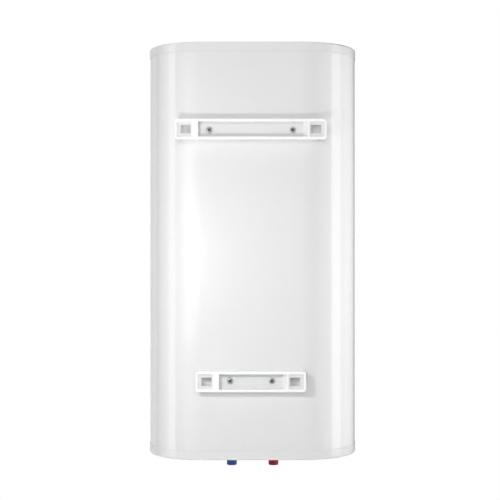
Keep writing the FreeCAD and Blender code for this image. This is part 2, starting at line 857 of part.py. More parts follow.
def sensors():
    """A closed tube in each flange, and the temperature probe inside it."""
    tubes, probes = [], []
    top, inner_top = "pocket_tube_length", "pocket_tube_length - pocket_tube_radius + pocket_tube_bore"
    low = "-nut_thickness"
    for n, side in enumerate(("-", "")):
        spot = (f"{side}half_lobe", "axis_depth + pocket_tube_offset", "flange_level")
        tubes.append(turned(f"sensor_tube_{n}", [
            ("pocket_tube_bore", low), ("pocket_tube_radius", low), ("pocket_tube_radius", top), ("0", top),
            ("0", inner_top), ("pocket_tube_bore", inner_top),
        ], *spot))
        probes.append(turned(f"probe_{n}", [
            ("0", f"{inner_top} - probe_length"), ("probe_radius", f"{inner_top} - probe_length"),
            ("probe_radius", inner_top), ("0", inner_top),
        ], *spot))
    group("sensor_pockets", tubes)
    group("temperature_probes", probes)


def thermal_cutout():
    """The safety cut-out on the bottom cap's floor, with a well for its reset button."""
    body = new_body("thermal_cutout", "0", "axis_depth - cutout_offset", "cap_floor")
    block = sketch_on(body)
    rounded(block, "cutout_width", "cutout_depth", "cutout_corner")
    pad(body, block, "cutout_height")
    well = sketch_on(body)
    circle(well, "0", "0", "reset_radius + reset_gap")
    pocket(body, well, "reset_head + reset_travel", along=True)
    stem = sketch_on(body)
    circle(stem, "0", "0", "reset_stem_radius + reset_gap")
    pocket(body, stem, "reset_head + reset_stem + reset_travel + reset_gap", along=True)
    finished(body)


def reset_button():
    """The cut-out's button: pressed up from below the bottom cap."""
    low, shoulder = "reset_recess", "cap_face_wall + reset_head - reset_gap"
    points = [
        ("0", low), ("reset_radius", low), ("reset_radius", shoulder), ("reset_stem_radius", shoulder),
        ("reset_stem_radius", f"{shoulder} + reset_stem"), ("0", f"{shoulder} + reset_stem"),
    ]
    finished(turned("reset_button", points, "0", "axis_depth - cutout_offset", "body_bottom"))


# Power entry


def cable_gland():
    """The screwed bush for the mains lead, and the nut that clamps it in the bottom cap."""
    body = new_body("cable_gland", "0", "axis_depth + gland_offset", "body_bottom", UPSIDE_DOWN)
    head = sketch_on(body)
    polygon(head, 6, "gland_radius")
    pad(body, head, "gland_head")
    soften(body, "PartDesign::Chamfer", "gland_chamfer", level_edges("gland_head"))
    shank = sketch_on(body)
    circle(shank, "0", "0", "gland_thread_radius")
    pad(body, shank, "gland_length", back=True)
    bore = sketch_on(body)
    circle(bore, "0", "0", "gland_bore")
    pocket(body, bore, "4 * gland_length", both=True)
    finished(body)
    nut = new_body("gland_nut", "0", "axis_depth + gland_offset", "cap_floor")
    ring = sketch_on(nut)
    polygon(ring, 6, "gland_nut_radius")
    circle(ring, "0", "0", "gland_thread_radius")
    pad(nut, ring, "gland_nut_thickness")
    finished(nut)


def terminal_block():
    """A three-way block on the bottom cap's floor, where the mains lead ends."""
    body = new_body("terminal_block", "0", "axis_depth + terminal_offset", "cap_floor")
    block = sketch_on(body)
    rounded(block, "terminal_width", "terminal_depth", "terminal_corner")
    pad(body, block, "terminal_height")
    screws = sketch_on(body, shift="terminal_height")
    for n in -1, 0, 1:
        circle(screws, f"{n} * terminal_pitch", "-terminal_depth / 4", "terminal_hole")
    pocket(body, screws, "terminal_height / 2")
    finished(body)


def earth_stud():
    """The earth connection below the hot tank: a stud with its nut."""
    nut_low, nut_high = "-(earth_length + nut_thickness) / 2", "-(earth_length - nut_thickness) / 2"
    points = [
        ("0", "-earth_length"), ("earth_radius", "-earth_length"), ("earth_radius", nut_low),
        ("earth_nut_radius", nut_low), ("earth_nut_radius", nut_high), ("earth_radius", nut_high),
        ("earth_radius", "0"), ("0", "0"),
    ]
    finished(turned("earth_stud", points, "-half_lobe", "axis_depth + earth_offset", "tank_low"))


def lead(points):
    """One insulated lead: straight runs joined by tangent arcs, as a round solid."""
    radius, bend = value("lead_radius"), value("lead_bend")
    spots = [Vector(*[value(number) for number in point]) for point in points]
    edges = []
    start = spots[0]
    for before, here, after in zip(spots, spots[1:], spots[2:]):
        back, on = (before - here).normalize(), (after - here).normalize()
        half = back.getAngle(on) / 2
        entry, leave = here + back * (bend / math.tan(half)), here + on * (bend / math.tan(half))
        middle = here + (back + on).normalize() * (bend / math.sin(half) - bend)
        edges.append(Part.LineSegment(start, entry).toShape())
        edges.append(Part.Arc(entry, middle, leave).toShape())
        start = leave
    edges.append(Part.LineSegment(start, spots[-1]).toShape())
    section = Part.Wire([Part.makeCircle(radius, spots[0], spots[1] - spots[0])])
    return Part.Wire(edges).makePipeShell([section], True, True)


def internal_leads():
    """Leads from the terminal block to the cut-out, the elements, the earth stud and the panel."""
    axis, run = "axis_depth", "body_bottom + lead_run_height"
    block_y, block_top = f"{axis} + terminal_offset", "cap_floor + terminal_height"
    cutout_y, cutout_top = f"{axis} - cutout_offset", "cap_floor + cutout_height"
    tail_y, tail_end = f"{axis} + element_offset", "flange_level - element_tail"
    over = f"{cutout_top} + lead_rise"
    switched_y, neutral_y = f"{cutout_y} - switched_lead_step", f"{axis} + neutral_lead_bow"
    solids = []
    for side in "-", "":
        inner_x, outer_x = f"{side}(half_lobe - element_spread)", f"{side}(half_lobe + element_spread)"
        feed_x, switched_x = f"{side}feed_lead_shift", f"{side}switched_lead_shift"
        neutral_x = f"{side}neutral_lead_shift"
        solids.append(lead([
            (feed_x, block_y, block_top), (feed_x, block_y, over),
            (feed_x, cutout_y, over), (feed_x, cutout_y, cutout_top),
        ]))
        solids.append(lead([
            (switched_x, switched_y, cutout_top), (switched_x, switched_y, over),
            (f"{side}half_nipple", switched_y, run), (inner_x, f"{axis} - switched_lead_bow", run),
            (inner_x, tail_y, run), (inner_x, tail_y, tail_end),
        ]))
        solids.append(lead([
            (neutral_x, block_y, block_top), (neutral_x, block_y, over),
            (f"{side}(half_nipple + neutral_lead_step)", neutral_y, run), (outer_x, neutral_y, run),
            (outer_x, tail_y, run), (outer_x, tail_y, tail_end),
        ]))
    earth_y, earth_end = f"{axis} + earth_offset", "tank_low - earth_length"
    earth_over = f"{over} + earth_lead_rise"
    solids.append(lead([
        ("0", f"{block_y} + earth_lead_step", block_top), ("0", f"{block_y} + earth_lead_step", earth_over),
        ("-half_lobe + earth_lead_reach", f"{block_y} + earth_lead_bow", earth_over),
        ("-half_lobe", earth_y, f"{earth_end} - earth_lead_bow"), ("-half_lobe", earth_y, earth_end),
    ]))
    front_y, panel_y = "front_depth + housing_depth / 2", f"{cutout_y} - panel_lead_step"
    solids.append(lead([
        ("0", panel_y, cutout_top), ("0", panel_y, over),
        ("0", front_y, "foam_low - panel_lead_step"), ("0", front_y, "panel_level - housing_height / 2"),
    ]))
    made = doc.addObject("Part::Feature", "internal_leads")
    made.Label = "internal_leads"
    made.Shape = Part.Compound(solids)
    finished(made)


# Front control panel: local z points into the room, from the front of the shell


def panel_body(label, x="0", y="0", z="0"):
    """An empty body in the panel's own frame, moved by x across, y up and z outwards."""
    return new_body(label, x, f"front_depth - ({z})", f"panel_level + {y}", TO_ROOM)


def control_panel():
    """The moulded panel on the front, with openings for the window, both buttons and the shaft."""
    body = panel_body("control_panel")
    plate = sketch_on(body)
    rounded(plate, "panel_width", "panel_height", "panel_corner")
    pad(body, plate, "panel_depth")
    soften(body, "PartDesign::Fillet", "panel_edge", level_edges("panel_depth"))
    rebate = sketch_on(body, shift="panel_depth")
    rounded(rebate, "window_width + 2 * window_gap", "window_height + 2 * window_gap",
            "window_corner + window_gap", "-window_shift")
    pocket(body, rebate, "window_thickness")
    holes = sketch_on(body)
    rounded(holes, "window_width - 2 * window_ledge", "window_height - 2 * window_ledge",
            "window_corner", "-window_shift")
    for side in "-", "":
        circle(holes, "button_shift", f"{side}button_spacing / 2", "button_radius + button_gap")
    circle(holes, "knob_shift", "0", "shaft_radius + shaft_hole_gap")
    pocket(body, holes, along=True)
    finished(body)


def display_window():
    """The clear window, level with the panel."""
    body = panel_body("display_window", z="panel_depth - window_thickness")
    pane = sketch_on(body)
    rounded(pane, "window_width", "window_height", "window_corner", "-window_shift")
    pad(body, pane, "window_thickness")
    finished(body)


def control_housing():
    """The open box behind the panel, with four posts for the board."""
    body = panel_body("control_housing", z="-housing_depth")
    box = sketch_on(body)
    rounded(box, "housing_width", "housing_height", "housing_corner")
    pad(body, box, "housing_depth")
    inside = sketch_on(body, shift="housing_wall")
    rounded(inside, "housing_width - 2 * housing_wall", "housing_height - 2 * housing_wall",
            "housing_corner - housing_wall / 2")
    pocket(body, inside, along=True)
    posts = sketch_on(body, shift="housing_wall")
    for across in "-", "":
        for up in "-", "":
            circle(posts, f"{across}(housing_width / 2 - housing_wall - board_post_inset)",
                   f"{up}(housing_height / 2 - housing_wall - board_post_inset)", "board_post_radius")
    pad(body, posts, "board_lift")
    finished(body)


def control_board():
    """The circuit board on the housing's posts."""
    body = panel_body("control_board", z="board_back")
    board = sketch_on(body)
    rounded(board, "housing_width - 2 * housing_wall - 2 * board_gap",
            "housing_height - 2 * housing_wall - 2 * board_gap", "housing_corner")
    pad(body, board, "board_thickness")
    finished(body)


def display_module():
    """The lit display behind the window."""
    body = panel_body("display_module", z="board_face")
    module = sketch_on(body)
    margin = "2 * display_margin"
    rounded(module, f"window_width - 2 * window_ledge - {margin}",
            f"window_height - 2 * window_ledge - {margin}", "display_margin", "-window_shift")
    pad(body, module, "display_height")
    finished(body)


def encoder_body():
    """The turning sensor on the board, with a blind bearing for the knob's shaft."""
    body = panel_body("encoder_body", x="knob_shift", z="board_face")
    block = sketch_on(body)
    rounded(block, "encoder_width", "encoder_width", "display_margin")
    pad(body, block, "encoder_height")
    bearing = sketch_on(body, shift="encoder_height")
    circle(bearing, "0", "0", "shaft_radius + shaft_fit")
    pocket(body, bearing, "shaft_seat + knob_gap")
    finished(body)


def knob_shaft():
    """The shaft from the encoder through the panel into the knob."""
    low = "board_face + encoder_height - shaft_seat"
    high = "panel_depth + knob_gap + knob_bore_depth"
    body = panel_body("knob_shaft", x="knob_shift", z=low)
    revolve(body, [("0", "0"), ("shaft_radius", "0"), ("shaft_radius", f"{high} - ({low})"),
                   ("0", f"{high} - ({low})")])
    finished(body)


def temperature_knob():
    """The round temperature knob: a gripped rim, a blind bore for its shaft and a pointer groove."""
    body = panel_body("temperature_knob", x="knob_shift", z="panel_depth + knob_gap")
    disc = sketch_on(body)
    circle(disc, "0", "0", "knob_radius")
    pad(body, disc, "knob_height")
    soften(body, "PartDesign::Fillet", "knob_grip", level_edges("knob_height"))
    bore = sketch_on(body)
    circle(bore, "0", "0", "shaft_radius")
    pocket(body, bore, "knob_bore_depth", along=True)
    pointer = sketch_on(body, shift="knob_height")
    rectangle(pointer, "-pointer_width / 2", "pointer_width / 2",
              "pointer_end - pointer_length", "pointer_end")
    pocket(body, pointer, "pointer_depth")
    groove = sketch_on(body, shift="knob_height")
    circle(groove, "knob_radius + knob_grip / 2", "0", "knob_grip")
    cut = pocket(body, groove, "knob_height - knob_skirt")
    pattern = body.newObject("PartDesign::PolarPattern", "Grip")
    pattern.Originals = [cut]
    axis = next(feature for feature in body.Origin.OriginFeatures if feature.Role == "Z_Axis")
    pattern.Axis = (axis, [""])
    pattern.Angle = 360
    pattern.setExpression("Occurrences", tied("knob_grip_count"))
    body.Tip = pattern
    finished(body)


def button(label, side):
    """A round push button with a flange behind the panel and a stem above its switch."""
    body = panel_body(label, "button_shift", f"{side} * button_spacing / 2")
    top, behind = "panel_depth + button_proud", "-button_gap"
    flange_low, stem_low = "-button_gap - button_flange", "switch_top + button_travel + button_gap"
    wide = "button_radius + button_flange"
    revolve(body, [
        ("0", stem_low), ("button_stem_radius", stem_low), ("button_stem_radius", flange_low),
        (wide, flange_low), (wide, behind), ("button_radius", behind), ("button_radius", top), ("0", top),
    ])
    soften(body, "PartDesign::Fillet", "button_gap * 2", round_edges(("button_radius", top)))
    finished(body)


def button_switches():
    """The two small switches under the buttons."""
    body = panel_body("button_switches", z="board_face")
    sketch = sketch_on(body)
    half = "switch_width / 2"
    for side in "-", "":
        middle = f"{side}button_spacing / 2"
        rectangle(sketch, f"button_shift - {half}", f"button_shift + {half}",
                  f"{middle} - {half}", f"{middle} + {half}")
    pad(body, sketch, "switch_height")
    finished(body)


# Wall mounting: local z points at the wall, from the wall plane


def wall_bracket(label, z, width, pocket_spacing, well_length, screw_spacing, setback):
    """A pressed bracket: a flat face with a hook pocket near each end and a deep well between them.
    Its skirts stand on the shell's back, and both ends are open below a short lip."""
    body = new_body(label, z=z, turn=TO_WALL)
    wall = "bracket_wall"
    face = sketch_on(body)
    rounded(face, width, "bracket_height", "bracket_corner")
    pad(body, face, "standoff + shell_radius", back=True)
    soften(body, "PartDesign::Fillet", "rim_radius", level_edges("0"))
    inside = sketch_on(body, shift=f"-{wall}")
    rounded(inside, f"{width} - 2 * {wall}", f"bracket_height - 2 * {wall}", f"bracket_corner - {wall}")
    pocket(body, inside)
    ends = sketch_on(body, shift="-end_lip")
    for side in "-", "":
        near, far = f"{side}({width} / 2 - {setback})", f"{side}({width} / 2 + {wall})"
        rectangle(ends, near, far, "-bracket_height", "bracket_height")
    pocket(body, ends)
    half, rise = f"{well_length} / 2", "well_height / 2"
    loft(body, "PartDesign::AdditiveLoft",
         (f"-{half} - {wall}", f"{half} + {wall}", f"-{rise} - {wall}", f"{rise} + {wall}", "-floor_depth"),
         (f"-{half} - {wall} - well_ramp", f"{half} + {wall}", f"-{rise} - {wall}", f"{rise} + {wall}", "0"))
    pans = sketch_on(body)
    for side in "-", "":
        middle, reach = f"{side}{pocket_spacing} / 2", f"(pocket_size / 2 + {wall})"
        rectangle(pans, f"{middle} - {reach}", f"{middle} + {reach}", f"-{reach}", reach)
    pad(body, pans, f"pocket_depth + {wall}", back=True)
    loft(body, "PartDesign::SubtractiveLoft",
         (f"-{half}", half, f"-{rise}", rise, "-well_depth"),
         (f"-{half} - well_ramp", half, f"-{rise}", rise, "0"))
    pockets = sketch_on(body)
    for side in "-", "":
        rounded(pockets, "pocket_size", "pocket_size", "pocket_corner", f"{side}{pocket_spacing} / 2")
    pocket(body, pockets, "pocket_depth")
    hooks = sketch_on(body)
    for side in "-", "":
        middle = f"{side}({pocket_spacing} / 2 - hook_hole_inset)"
        rectangle(hooks, f"{middle} - hook_hole_width / 2", f"{middle} + hook_hole_width / 2",
                  "-hook_hole_height / 2", "hook_hole_height / 2")
    pocket(body, hooks)
    screws = sketch_on(body)
    for side in "-", "":
        circle(screws, f"{side}{screw_spacing} / 2", "0", "screw_radius + screw_hole_gap")
    pocket(body, screws)
    shell = sketch_on(body, "XZ_Plane")
    stadium(shell, "shell_radius + shell_fit", y="axis_depth")
    pocket(body, shell, "2 * bracket_height", both=True)
    finished(body)


def mounting_bar(label, z):
    """A steel bar welded across the backs of both tanks, inside the foam."""
    bar = doc.addObject("Part::Box", label)
    bar.Label = label
    for side, formula in (("Length", "bar_length"), ("Width", "bar_thickness"), ("Height", "bar_height")):
        bar.setExpression(side, tied(formula))
    place(bar, "-bar_length / 2", "bar_depth", f"{z} - bar_height / 2")
    finished(bar)


def screw_spots():
    """Where the bracket screws stand, as (x, z)."""
    rows = ("upper_screw_spacing", "0"), ("lower_screw_spacing", "-bracket_spacing")
    return [(f"{side}{spacing} / 2", level) for spacing, level in rows for side in ("-", "")]


def mounting_bosses():
    """Threaded sleeves on the bars, which pass through the shell and carry the brackets' floors."""
    body = new_body("mounting_bosses", y="bar_depth + bar_thickness")
    rings = sketch_on(body, "XZ_Plane")
    for x, z in screw_spots():
        circle(rings, x, z, "boss_radius")
        circle(rings, x, z, "screw_radius")
    pad(body, rings, "boss_length", back=True)
    finished(body)


def bracket_screws():
    """Pan head screws with a cross recess, which hold the brackets to the bosses."""
    screws = []
    for n, (x, z) in enumerate(screw_spots()):
        body = new_body(f"bracket_screw_{n}", x, "-well_depth", z, TO_WALL)
        revolve(body, [
            ("0", "-screw_length"), ("screw_radius - screw_point", "-screw_length"),
            ("screw_radius", "screw_point - screw_length"), ("screw_radius", "0"), ("screw_head_radius", "0"),
            ("screw_head_radius", "screw_head_height"), ("0", "screw_head_height"),
        ])
        soften(body, "PartDesign::Fillet", "screw_head_edge",
               round_edges(("screw_head_radius", "screw_head_height")))
        for length, width in (("recess_length", "recess_width"), ("recess_width", "recess_length")):
            slot = sketch_on(body, shift="screw_head_height")
            rectangle(slot, f"-{length} / 2", f"{length} / 2", f"-{width} / 2", f"{width} / 2")
            pocket(body, slot, "recess_depth")
        screws.append(body)
    group("bracket_screws", screws)


def check_model():
    """Stops if an object failed, a sub-part's shape is bad, or a cut removed nothing."""
    doc.recompute()
    for made in doc.Objects:
        if {"Invalid", "Error"} & set(made.State):
            raise RuntimeError(f"{made.Name} failed: {made.State}")
        cuts = made.TypeId in ("PartDesign::Pocket", "PartDesign::SubtractiveLoft")
        if cuts and made.BaseFeature.Shape.Volume - made.Shape.Volume < 1e-3:
            raise RuntimeError(f"{made.Name} of {made.Profile[0].Name} cuts nothing")
    for made in sub_parts:
        if made.Shape.isNull() or not made.Shape.isValid() or not made.Shape.Solids:
            raise RuntimeError(f"{made.Label} has a bad shape")


def write_parts():
    """Writes each sub-part to a file with its own name."""
    os.makedirs("parts", exist_ok=True)
    for made in sub_parts:
        made.Shape.exportStep(f"parts/{made.Label}.step")
        print(made.Label, len(made.Shape.Solids), round(made.Shape.Volume, 1))


def build():
    """Makes every sub-part in turn."""
    fill_sheet()
    outer_shell()
    finished(end_cap("top_cap", "body_top - cap_skirt", UP))
    bottom_cap()
    foam_insulation()
    fixings_for_the_bottom_cap()
    for label, side in (("cold", 1), ("hot", -1)):
        tank(f"{label}_tank", side)
        nipple(f"{label}_nipple", side)
        thread_cap(f"{label}_thread_cap", side)
        gasket(f"{label}_gasket", side)
        flange(f"{label}_flange", side)
        heating_element(f"{label}_heating_element", side)
        anode(f"{label}_anode", side)
    for label, level in zip(("lower_link_pipe", "upper_link_pipe"), link_levels()):
        link_pipe(label, level)
    inlet_diffuser()
    hot_outlet_pipe()
    nipple_grommets()
    flange_fasteners()
    sensors()
    thermal_cutout()
    reset_button()
    cable_gland()
    terminal_block()
    earth_stud()
    internal_leads()
    control_panel()
    display_window()
    control_housing()
    control_board()
    display_module()
    encoder_body()
    knob_shaft()
    temperature_knob()
    button("power_button", 1)
    button("mode_button", -1)
    button_switches()
    wall_bracket("upper_bracket", "0", "upper_bracket_width", "upper_pocket_spacing",
                 "upper_well_length", "upper_screw_spacing", "upper_skirt_setback")
    wall_bracket("lower_bracket", "-bracket_spacing", "lower_bracket_width", "lower_pocket_spacing",
                 "lower_well_length", "lower_screw_spacing", "lower_skirt_setback")
    mounting_bar("upper_mounting_bar", "0")
    mounting_bar("lower_mounting_bar", "-bracket_spacing")
    mounting_bosses()
    bracket_screws()
    check_model()
    write_parts()


build()
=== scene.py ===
import json
import math
import bmesh
import bpy
import numpy as np
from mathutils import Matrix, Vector

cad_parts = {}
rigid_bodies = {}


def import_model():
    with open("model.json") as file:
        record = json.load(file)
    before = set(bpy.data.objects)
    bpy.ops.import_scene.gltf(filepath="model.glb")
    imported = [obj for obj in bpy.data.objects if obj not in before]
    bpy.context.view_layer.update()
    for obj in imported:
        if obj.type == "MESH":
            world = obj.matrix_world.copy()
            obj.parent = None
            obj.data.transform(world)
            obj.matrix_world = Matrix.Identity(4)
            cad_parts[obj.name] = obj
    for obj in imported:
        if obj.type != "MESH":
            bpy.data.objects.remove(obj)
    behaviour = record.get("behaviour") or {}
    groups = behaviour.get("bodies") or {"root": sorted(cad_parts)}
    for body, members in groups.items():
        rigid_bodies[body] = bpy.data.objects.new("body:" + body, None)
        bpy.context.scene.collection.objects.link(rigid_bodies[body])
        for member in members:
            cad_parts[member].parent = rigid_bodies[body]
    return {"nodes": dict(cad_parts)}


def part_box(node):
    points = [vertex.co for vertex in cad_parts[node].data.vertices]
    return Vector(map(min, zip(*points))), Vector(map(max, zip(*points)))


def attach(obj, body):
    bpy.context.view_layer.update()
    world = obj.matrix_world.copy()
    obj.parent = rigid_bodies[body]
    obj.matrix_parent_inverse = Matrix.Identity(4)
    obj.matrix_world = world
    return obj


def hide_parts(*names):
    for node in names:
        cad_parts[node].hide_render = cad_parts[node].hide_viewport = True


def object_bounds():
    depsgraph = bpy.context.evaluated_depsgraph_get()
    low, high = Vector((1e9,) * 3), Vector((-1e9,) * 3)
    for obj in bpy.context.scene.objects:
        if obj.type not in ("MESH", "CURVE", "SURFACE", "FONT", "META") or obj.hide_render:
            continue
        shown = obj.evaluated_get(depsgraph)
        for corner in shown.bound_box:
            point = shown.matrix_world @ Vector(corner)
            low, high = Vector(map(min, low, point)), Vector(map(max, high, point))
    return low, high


for spare in list(bpy.data.objects):  # the start-up cube, lamp and camera
    bpy.data.objects.remove(spare)
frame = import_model()
cadLow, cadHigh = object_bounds()
nodes = frame["nodes"]
scene = bpy.context.scene
scene.view_settings.view_transform = "Standard"
print("frame loaded:", len(nodes), "nodes")

# A tank water heater seen from the side that faces the wall: +X across, +Y towards the wall, +Z up.
# Lengths are in metres. The case is a stadium in plan: two round sides joined by flat ones.

shellLow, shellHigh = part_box("outer_shell")
topLow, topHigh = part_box("top_cap")
bottomLow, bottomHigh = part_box("bottom_cap")
middle = Vector((0, (cadLow[1] + cadHigh[1]) / 2, (topHigh.z + bottomLow.z) / 2))

# camera and lights

view = dict(place=(-0.072, 2.581, middle.z), lens=82.24, shiftX=-0.0652, shiftY=0.0018)

cameraData = bpy.data.cameras.new("wallSideCamera")
cameraData.lens = view["lens"]
cameraData.shift_x = view["shiftX"]
cameraData.shift_y = view["shiftY"]
camera = bpy.data.objects.new("wallSideCamera", cameraData)
camera.location = view["place"]
camera.rotation_euler = (math.radians(90), 0, math.radians(180))
scene.collection.objects.link(camera)
scene.camera = camera


def hangLamp(name, kind, place, watts, size, tall=None, onlyGloss=False, aim=None):
    # a lamp that the camera doesn't see, aimed at the heater's middle unless aim says otherwise
    data = bpy.data.lights.new(name, kind)
    data.energy = watts
    if kind == "AREA":
        data.shape = "RECTANGLE"
        data.size = size
        data.size_y = tall or size
    else:
        data.shadow_soft_size = size
    lamp = bpy.data.objects.new(name, data)
    lamp.location = place
    towards = Vector(aim or middle) - Vector(place)
    lamp.rotation_euler = towards.to_track_quat("-Z", "Y").to_euler()
    lamp.visible_camera = False
    lamp.visible_diffuse = not onlyGloss
    scene.collection.objects.link(lamp)
    return lamp


lights = dict(key=7, glow=0.3, wallSide=40, roomSide=60, overhead=15, ambient=0.4, cards=0.5)
lampSizes = dict(key=0.012, glow=0.3, glowTall=0.55, wallSide=1.2, roomSide=2.4, overhead=1.6)
lampSpots = dict(key=(0.26, 0.67, -0.29), glow=(0.52, 0.56, -0.27), glowAim=(0.15, -0.05, -0.27),
                 wallSide=(0.1, 3.4, middle.z + 0.5), roomSide=(-0.6, -3.8, middle.z + 0.9),
                 overhead=(0.2, 0.3, 2.6))

hangLamp("keyLamp", "POINT", lampSpots["key"], lights["key"], lampSizes["key"])
hangLamp("glowLamp", "AREA", lampSpots["glow"], lights["glow"], lampSizes["glow"],
         tall=lampSizes["glowTall"], onlyGloss=True, aim=lampSpots["glowAim"])
for name in ("wallSide", "roomSide", "overhead"):
    lamp = hangLamp(name + "Lamp", "AREA", lampSpots[name], lights[name], lampSizes[name])
    lamp.visible_glossy = False
print("camera and lamps:", len(bpy.data.lights), "lamps")

# shader sockets as expressions


class Wire:
    # one shader socket: sums and products of wires add Math nodes
    def __init__(self, finish, socket):
        self.finish = finish
        self.socket = socket

    def maths(self, operation, first, second):
        return self.finish.node("ShaderNodeMath", dict(operation=operation), {0: first, 1: second})

    def __add__(self, other):
        return self.maths("ADD", self, other)

    def __radd__(self, other):
        return self.maths("ADD", other, self)

    def __sub__(self, other):
        return self.maths("SUBTRACT", self, other)

    def __rsub__(self, other):
        return self.maths("SUBTRACT", other, self)

    def __mul__(self, other):
        return self.maths("MULTIPLY", self, other)

    def __rmul__(self, other):
        return self.maths("MULTIPLY", other, self)

    def power(self, exponent):
        return self.maths("POWER", self, exponent)

    def above(self, edge, width):
        # 0 below edge, 1 past edge + width, smooth between
        return self.finish.node("ShaderNodeMapRange", dict(interpolation_type="SMOOTHSTEP"),
                                {"Value": self, "From Min": edge, "From Max": edge + width})


class Finish:
    # a material, or the world, whose nodes are added one call at a time
    def __init__(self, owner):
        owner.use_nodes = True
        self.owner = owner
        self.tree = owner.node_tree
        self.tree.nodes.clear()

    def node(self, kind, settings=None, values=None, outlet=0):
        made = self.tree.nodes.new(kind)
        for name, value in (settings or {}).items():
            if name == "stops":
                ramp = made.color_ramp.elements
                while len(ramp) < len(value):
                    ramp.new(0.5)
                for stop, (place, tone) in zip(ramp, value):
                    stop.position = place
                    stop.color = (*tone, 1) if hasattr(tone, "__len__") else (tone, tone, tone, 1)
            else:
                setattr(made, name, value)
        for name, value in (values or {}).items():
            socket = made.inputs[name]
            if isinstance(value, Wire):
                self.tree.links.new(value.socket, socket)
            elif hasattr(value, "__len__") and len(value) == 3 and socket.type == "RGBA":
                socket.default_value = (*value, 1)
            else:
                socket.default_value = value
        if len(made.outputs):
            return Wire(self, made.outputs[outlet])

    def place(self):
        # a point on the piece in the heater's frame
        return self.node("ShaderNodeTexCoord", outlet="Object")

    def axis(self, name):
        return self.node("ShaderNodeSeparateXYZ", None, {0: self.place()}, outlet=name)

    def stretched(self, scale):
        return self.node("ShaderNodeMapping", None, {"Vector": self.place(), "Scale": scale})

    def noise(self, scale, detail=3, where=None):
        return self.node("ShaderNodeTexNoise", None,
                         {"Vector": where or self.place(), "Scale": scale, "Detail": detail})

    def tint(self, amount, low, high):
        # a colour between low and high
        return self.node("ShaderNodeMix", dict(data_type="RGBA"), {0: amount, 6: low, 7: high}, outlet=2)

    def bump(self, height, depth):
        return self.node("ShaderNodeBump", None, {"Height": height, "Distance": depth})

    def principled(self, **values):
        # underscores stand for the spaces in socket names
        return self.node("ShaderNodeBsdfPrincipled", None,
                         {name.replace("_", " "): value for name, value in values.items()})

    def close(self, shader, kind="ShaderNodeOutputMaterial"):
        self.node(kind, None, {"Surface": shader})
        return self.owner


def newFinish(name):
    return Finish(bpy.data.materials.new(name))


def mixed(finish, amount, first, second):
    return finish.node("ShaderNodeMixShader", None, {0: amount, 1: first, 2: second})


def enamel(name, low, high, roughness, coat, coatRoughness, peel):
    # sprayed enamel: a clear smooth coat over a satin base, faint cloudiness and orange peel
    made = newFinish(name)
    clouds = made.noise(9, 4)
    peelWave = made.noise(420, 2)
    return made.close(made.principled(
        Base_Color=made.tint(clouds, low, high), Roughness=roughness + (clouds - 0.5) * 0.05,
        Normal=made.bump(peelWave, peel), Coat_Weight=coat, Coat_Roughness=coatRoughness))


def bracketEnamel(name):
    # white enamel with painted light and shade: lighter on the raised face, and greyer down in the pockets
    # and the well, where shade falls
    made = newFinish(name)
    clouds = made.noise(14, 4)
    # recess is 1 on the sunk faces, where this finish paints shade
    recess = made.node("ShaderNodeAttribute", dict(attribute_name="recess"), outlet="Fac")
    # two tones of one enamel: painted light on the raised face, painted shade on the sunk floors
    litFaceTone = made.tint(clouds, (0.95, 0.952, 0.954), (0.97, 0.972, 0.974))
    floorTone = made.tint(clouds, (0.735, 0.738, 0.740), (0.755, 0.758, 0.760))
    return made.close(made.principled(
        Base_Color=made.tint(recess, litFaceTone, floorTone), Roughness=0.34 + (clouds - 0.5) * 0.06,
        Normal=made.bump(made.noise(500, 2), 0.00001), Coat_Weight=0.8, Coat_Roughness=0.10))


def moulded(name, low, high, roughness, grain=0.00002, scale=900, **more):
    # moulded plastic: fine grain from the mould and slightly uneven colour
    made = newFinish(name)
    clouds = made.noise(35, 3)
    texture = made.noise(scale, 3)
    return made.close(made.principled(
        Base_Color=made.tint(clouds, low, high), Roughness=roughness + (texture - 0.5) * 0.12,
        Normal=made.bump(texture, grain), **more))


def metal(name, low, high, roughness, streak, grain=0.00001, metallic=1.0):
    # metal: streak stretches the pattern along the way it was drawn or ground
    made = newFinish(name)
    lines = made.noise(60, 5, made.stretched(streak))
    blotches = made.noise(28, 4)
    tone = made.tint(0.6 * lines + 0.4 * blotches, low, high)
    return made.close(made.principled(
        Base_Color=tone, Metallic=metallic, Normal=made.bump(lines, grain),
        Roughness=roughness + (lines - 0.5) * 0.18 + (blotches - 0.5) * 0.1))


def screwSteel(name):
    # plated steel: bright on the domed head, with painted shade down in the cross recess, which is made
    # dark, less metallic and rougher
    made = newFinish(name)
    lines = made.noise(900, 3)
    # recess marks the cross recess, where shade is painted
    recess = made.node("ShaderNodeAttribute", dict(attribute_name="recess"), outlet="Fac")
    plated = made.tint(lines, (0.44, 0.46, 0.46), (0.62, 0.64, 0.64))
    return made.close(made.principled(
        Base_Color=made.tint(recess, plated, (0.045, 0.050, 0.050)), Metallic=0.55 - 0.35 * recess,
        Roughness=0.26 + lines * 0.14 + recess * 0.3, Normal=made.bump(lines, 0.00001)))


def galvanised(name):
    # zinc plating: spangled crystals of slightly different greys
    made = newFinish(name)
    crystals = made.node("ShaderNodeTexVoronoi", None, {"Vector": made.place(), "Scale": 420},
                         outlet="Color")
    grey = made.node("ShaderNodeSeparateColor", None, {0: crystals}, outlet=0)
    fine = made.noise(1500, 2)
    return made.close(made.principled(
        Base_Color=made.tint(grey, (0.50, 0.51, 0.53), (0.66, 0.67, 0.69)), Metallic=1.0,
        Roughness=0.34 + grey * 0.14, Normal=made.bump(fine, 0.000004)))


def foamed(name):
    # sprayed foam: cut cells and a slightly browned skin
    made = newFinish(name)
    cells = made.node("ShaderNodeTexVoronoi", None, {"Vector": made.place(), "Scale": 700},
                      outlet="Distance")
    clouds = made.noise(18, 4)
    return made.close(made.principled(
        Base_Color=made.tint(clouds, (0.74, 0.62, 0.36), (0.84, 0.74, 0.50)), Roughness=0.9,
        Normal=made.bump(cells, 0.0004)))


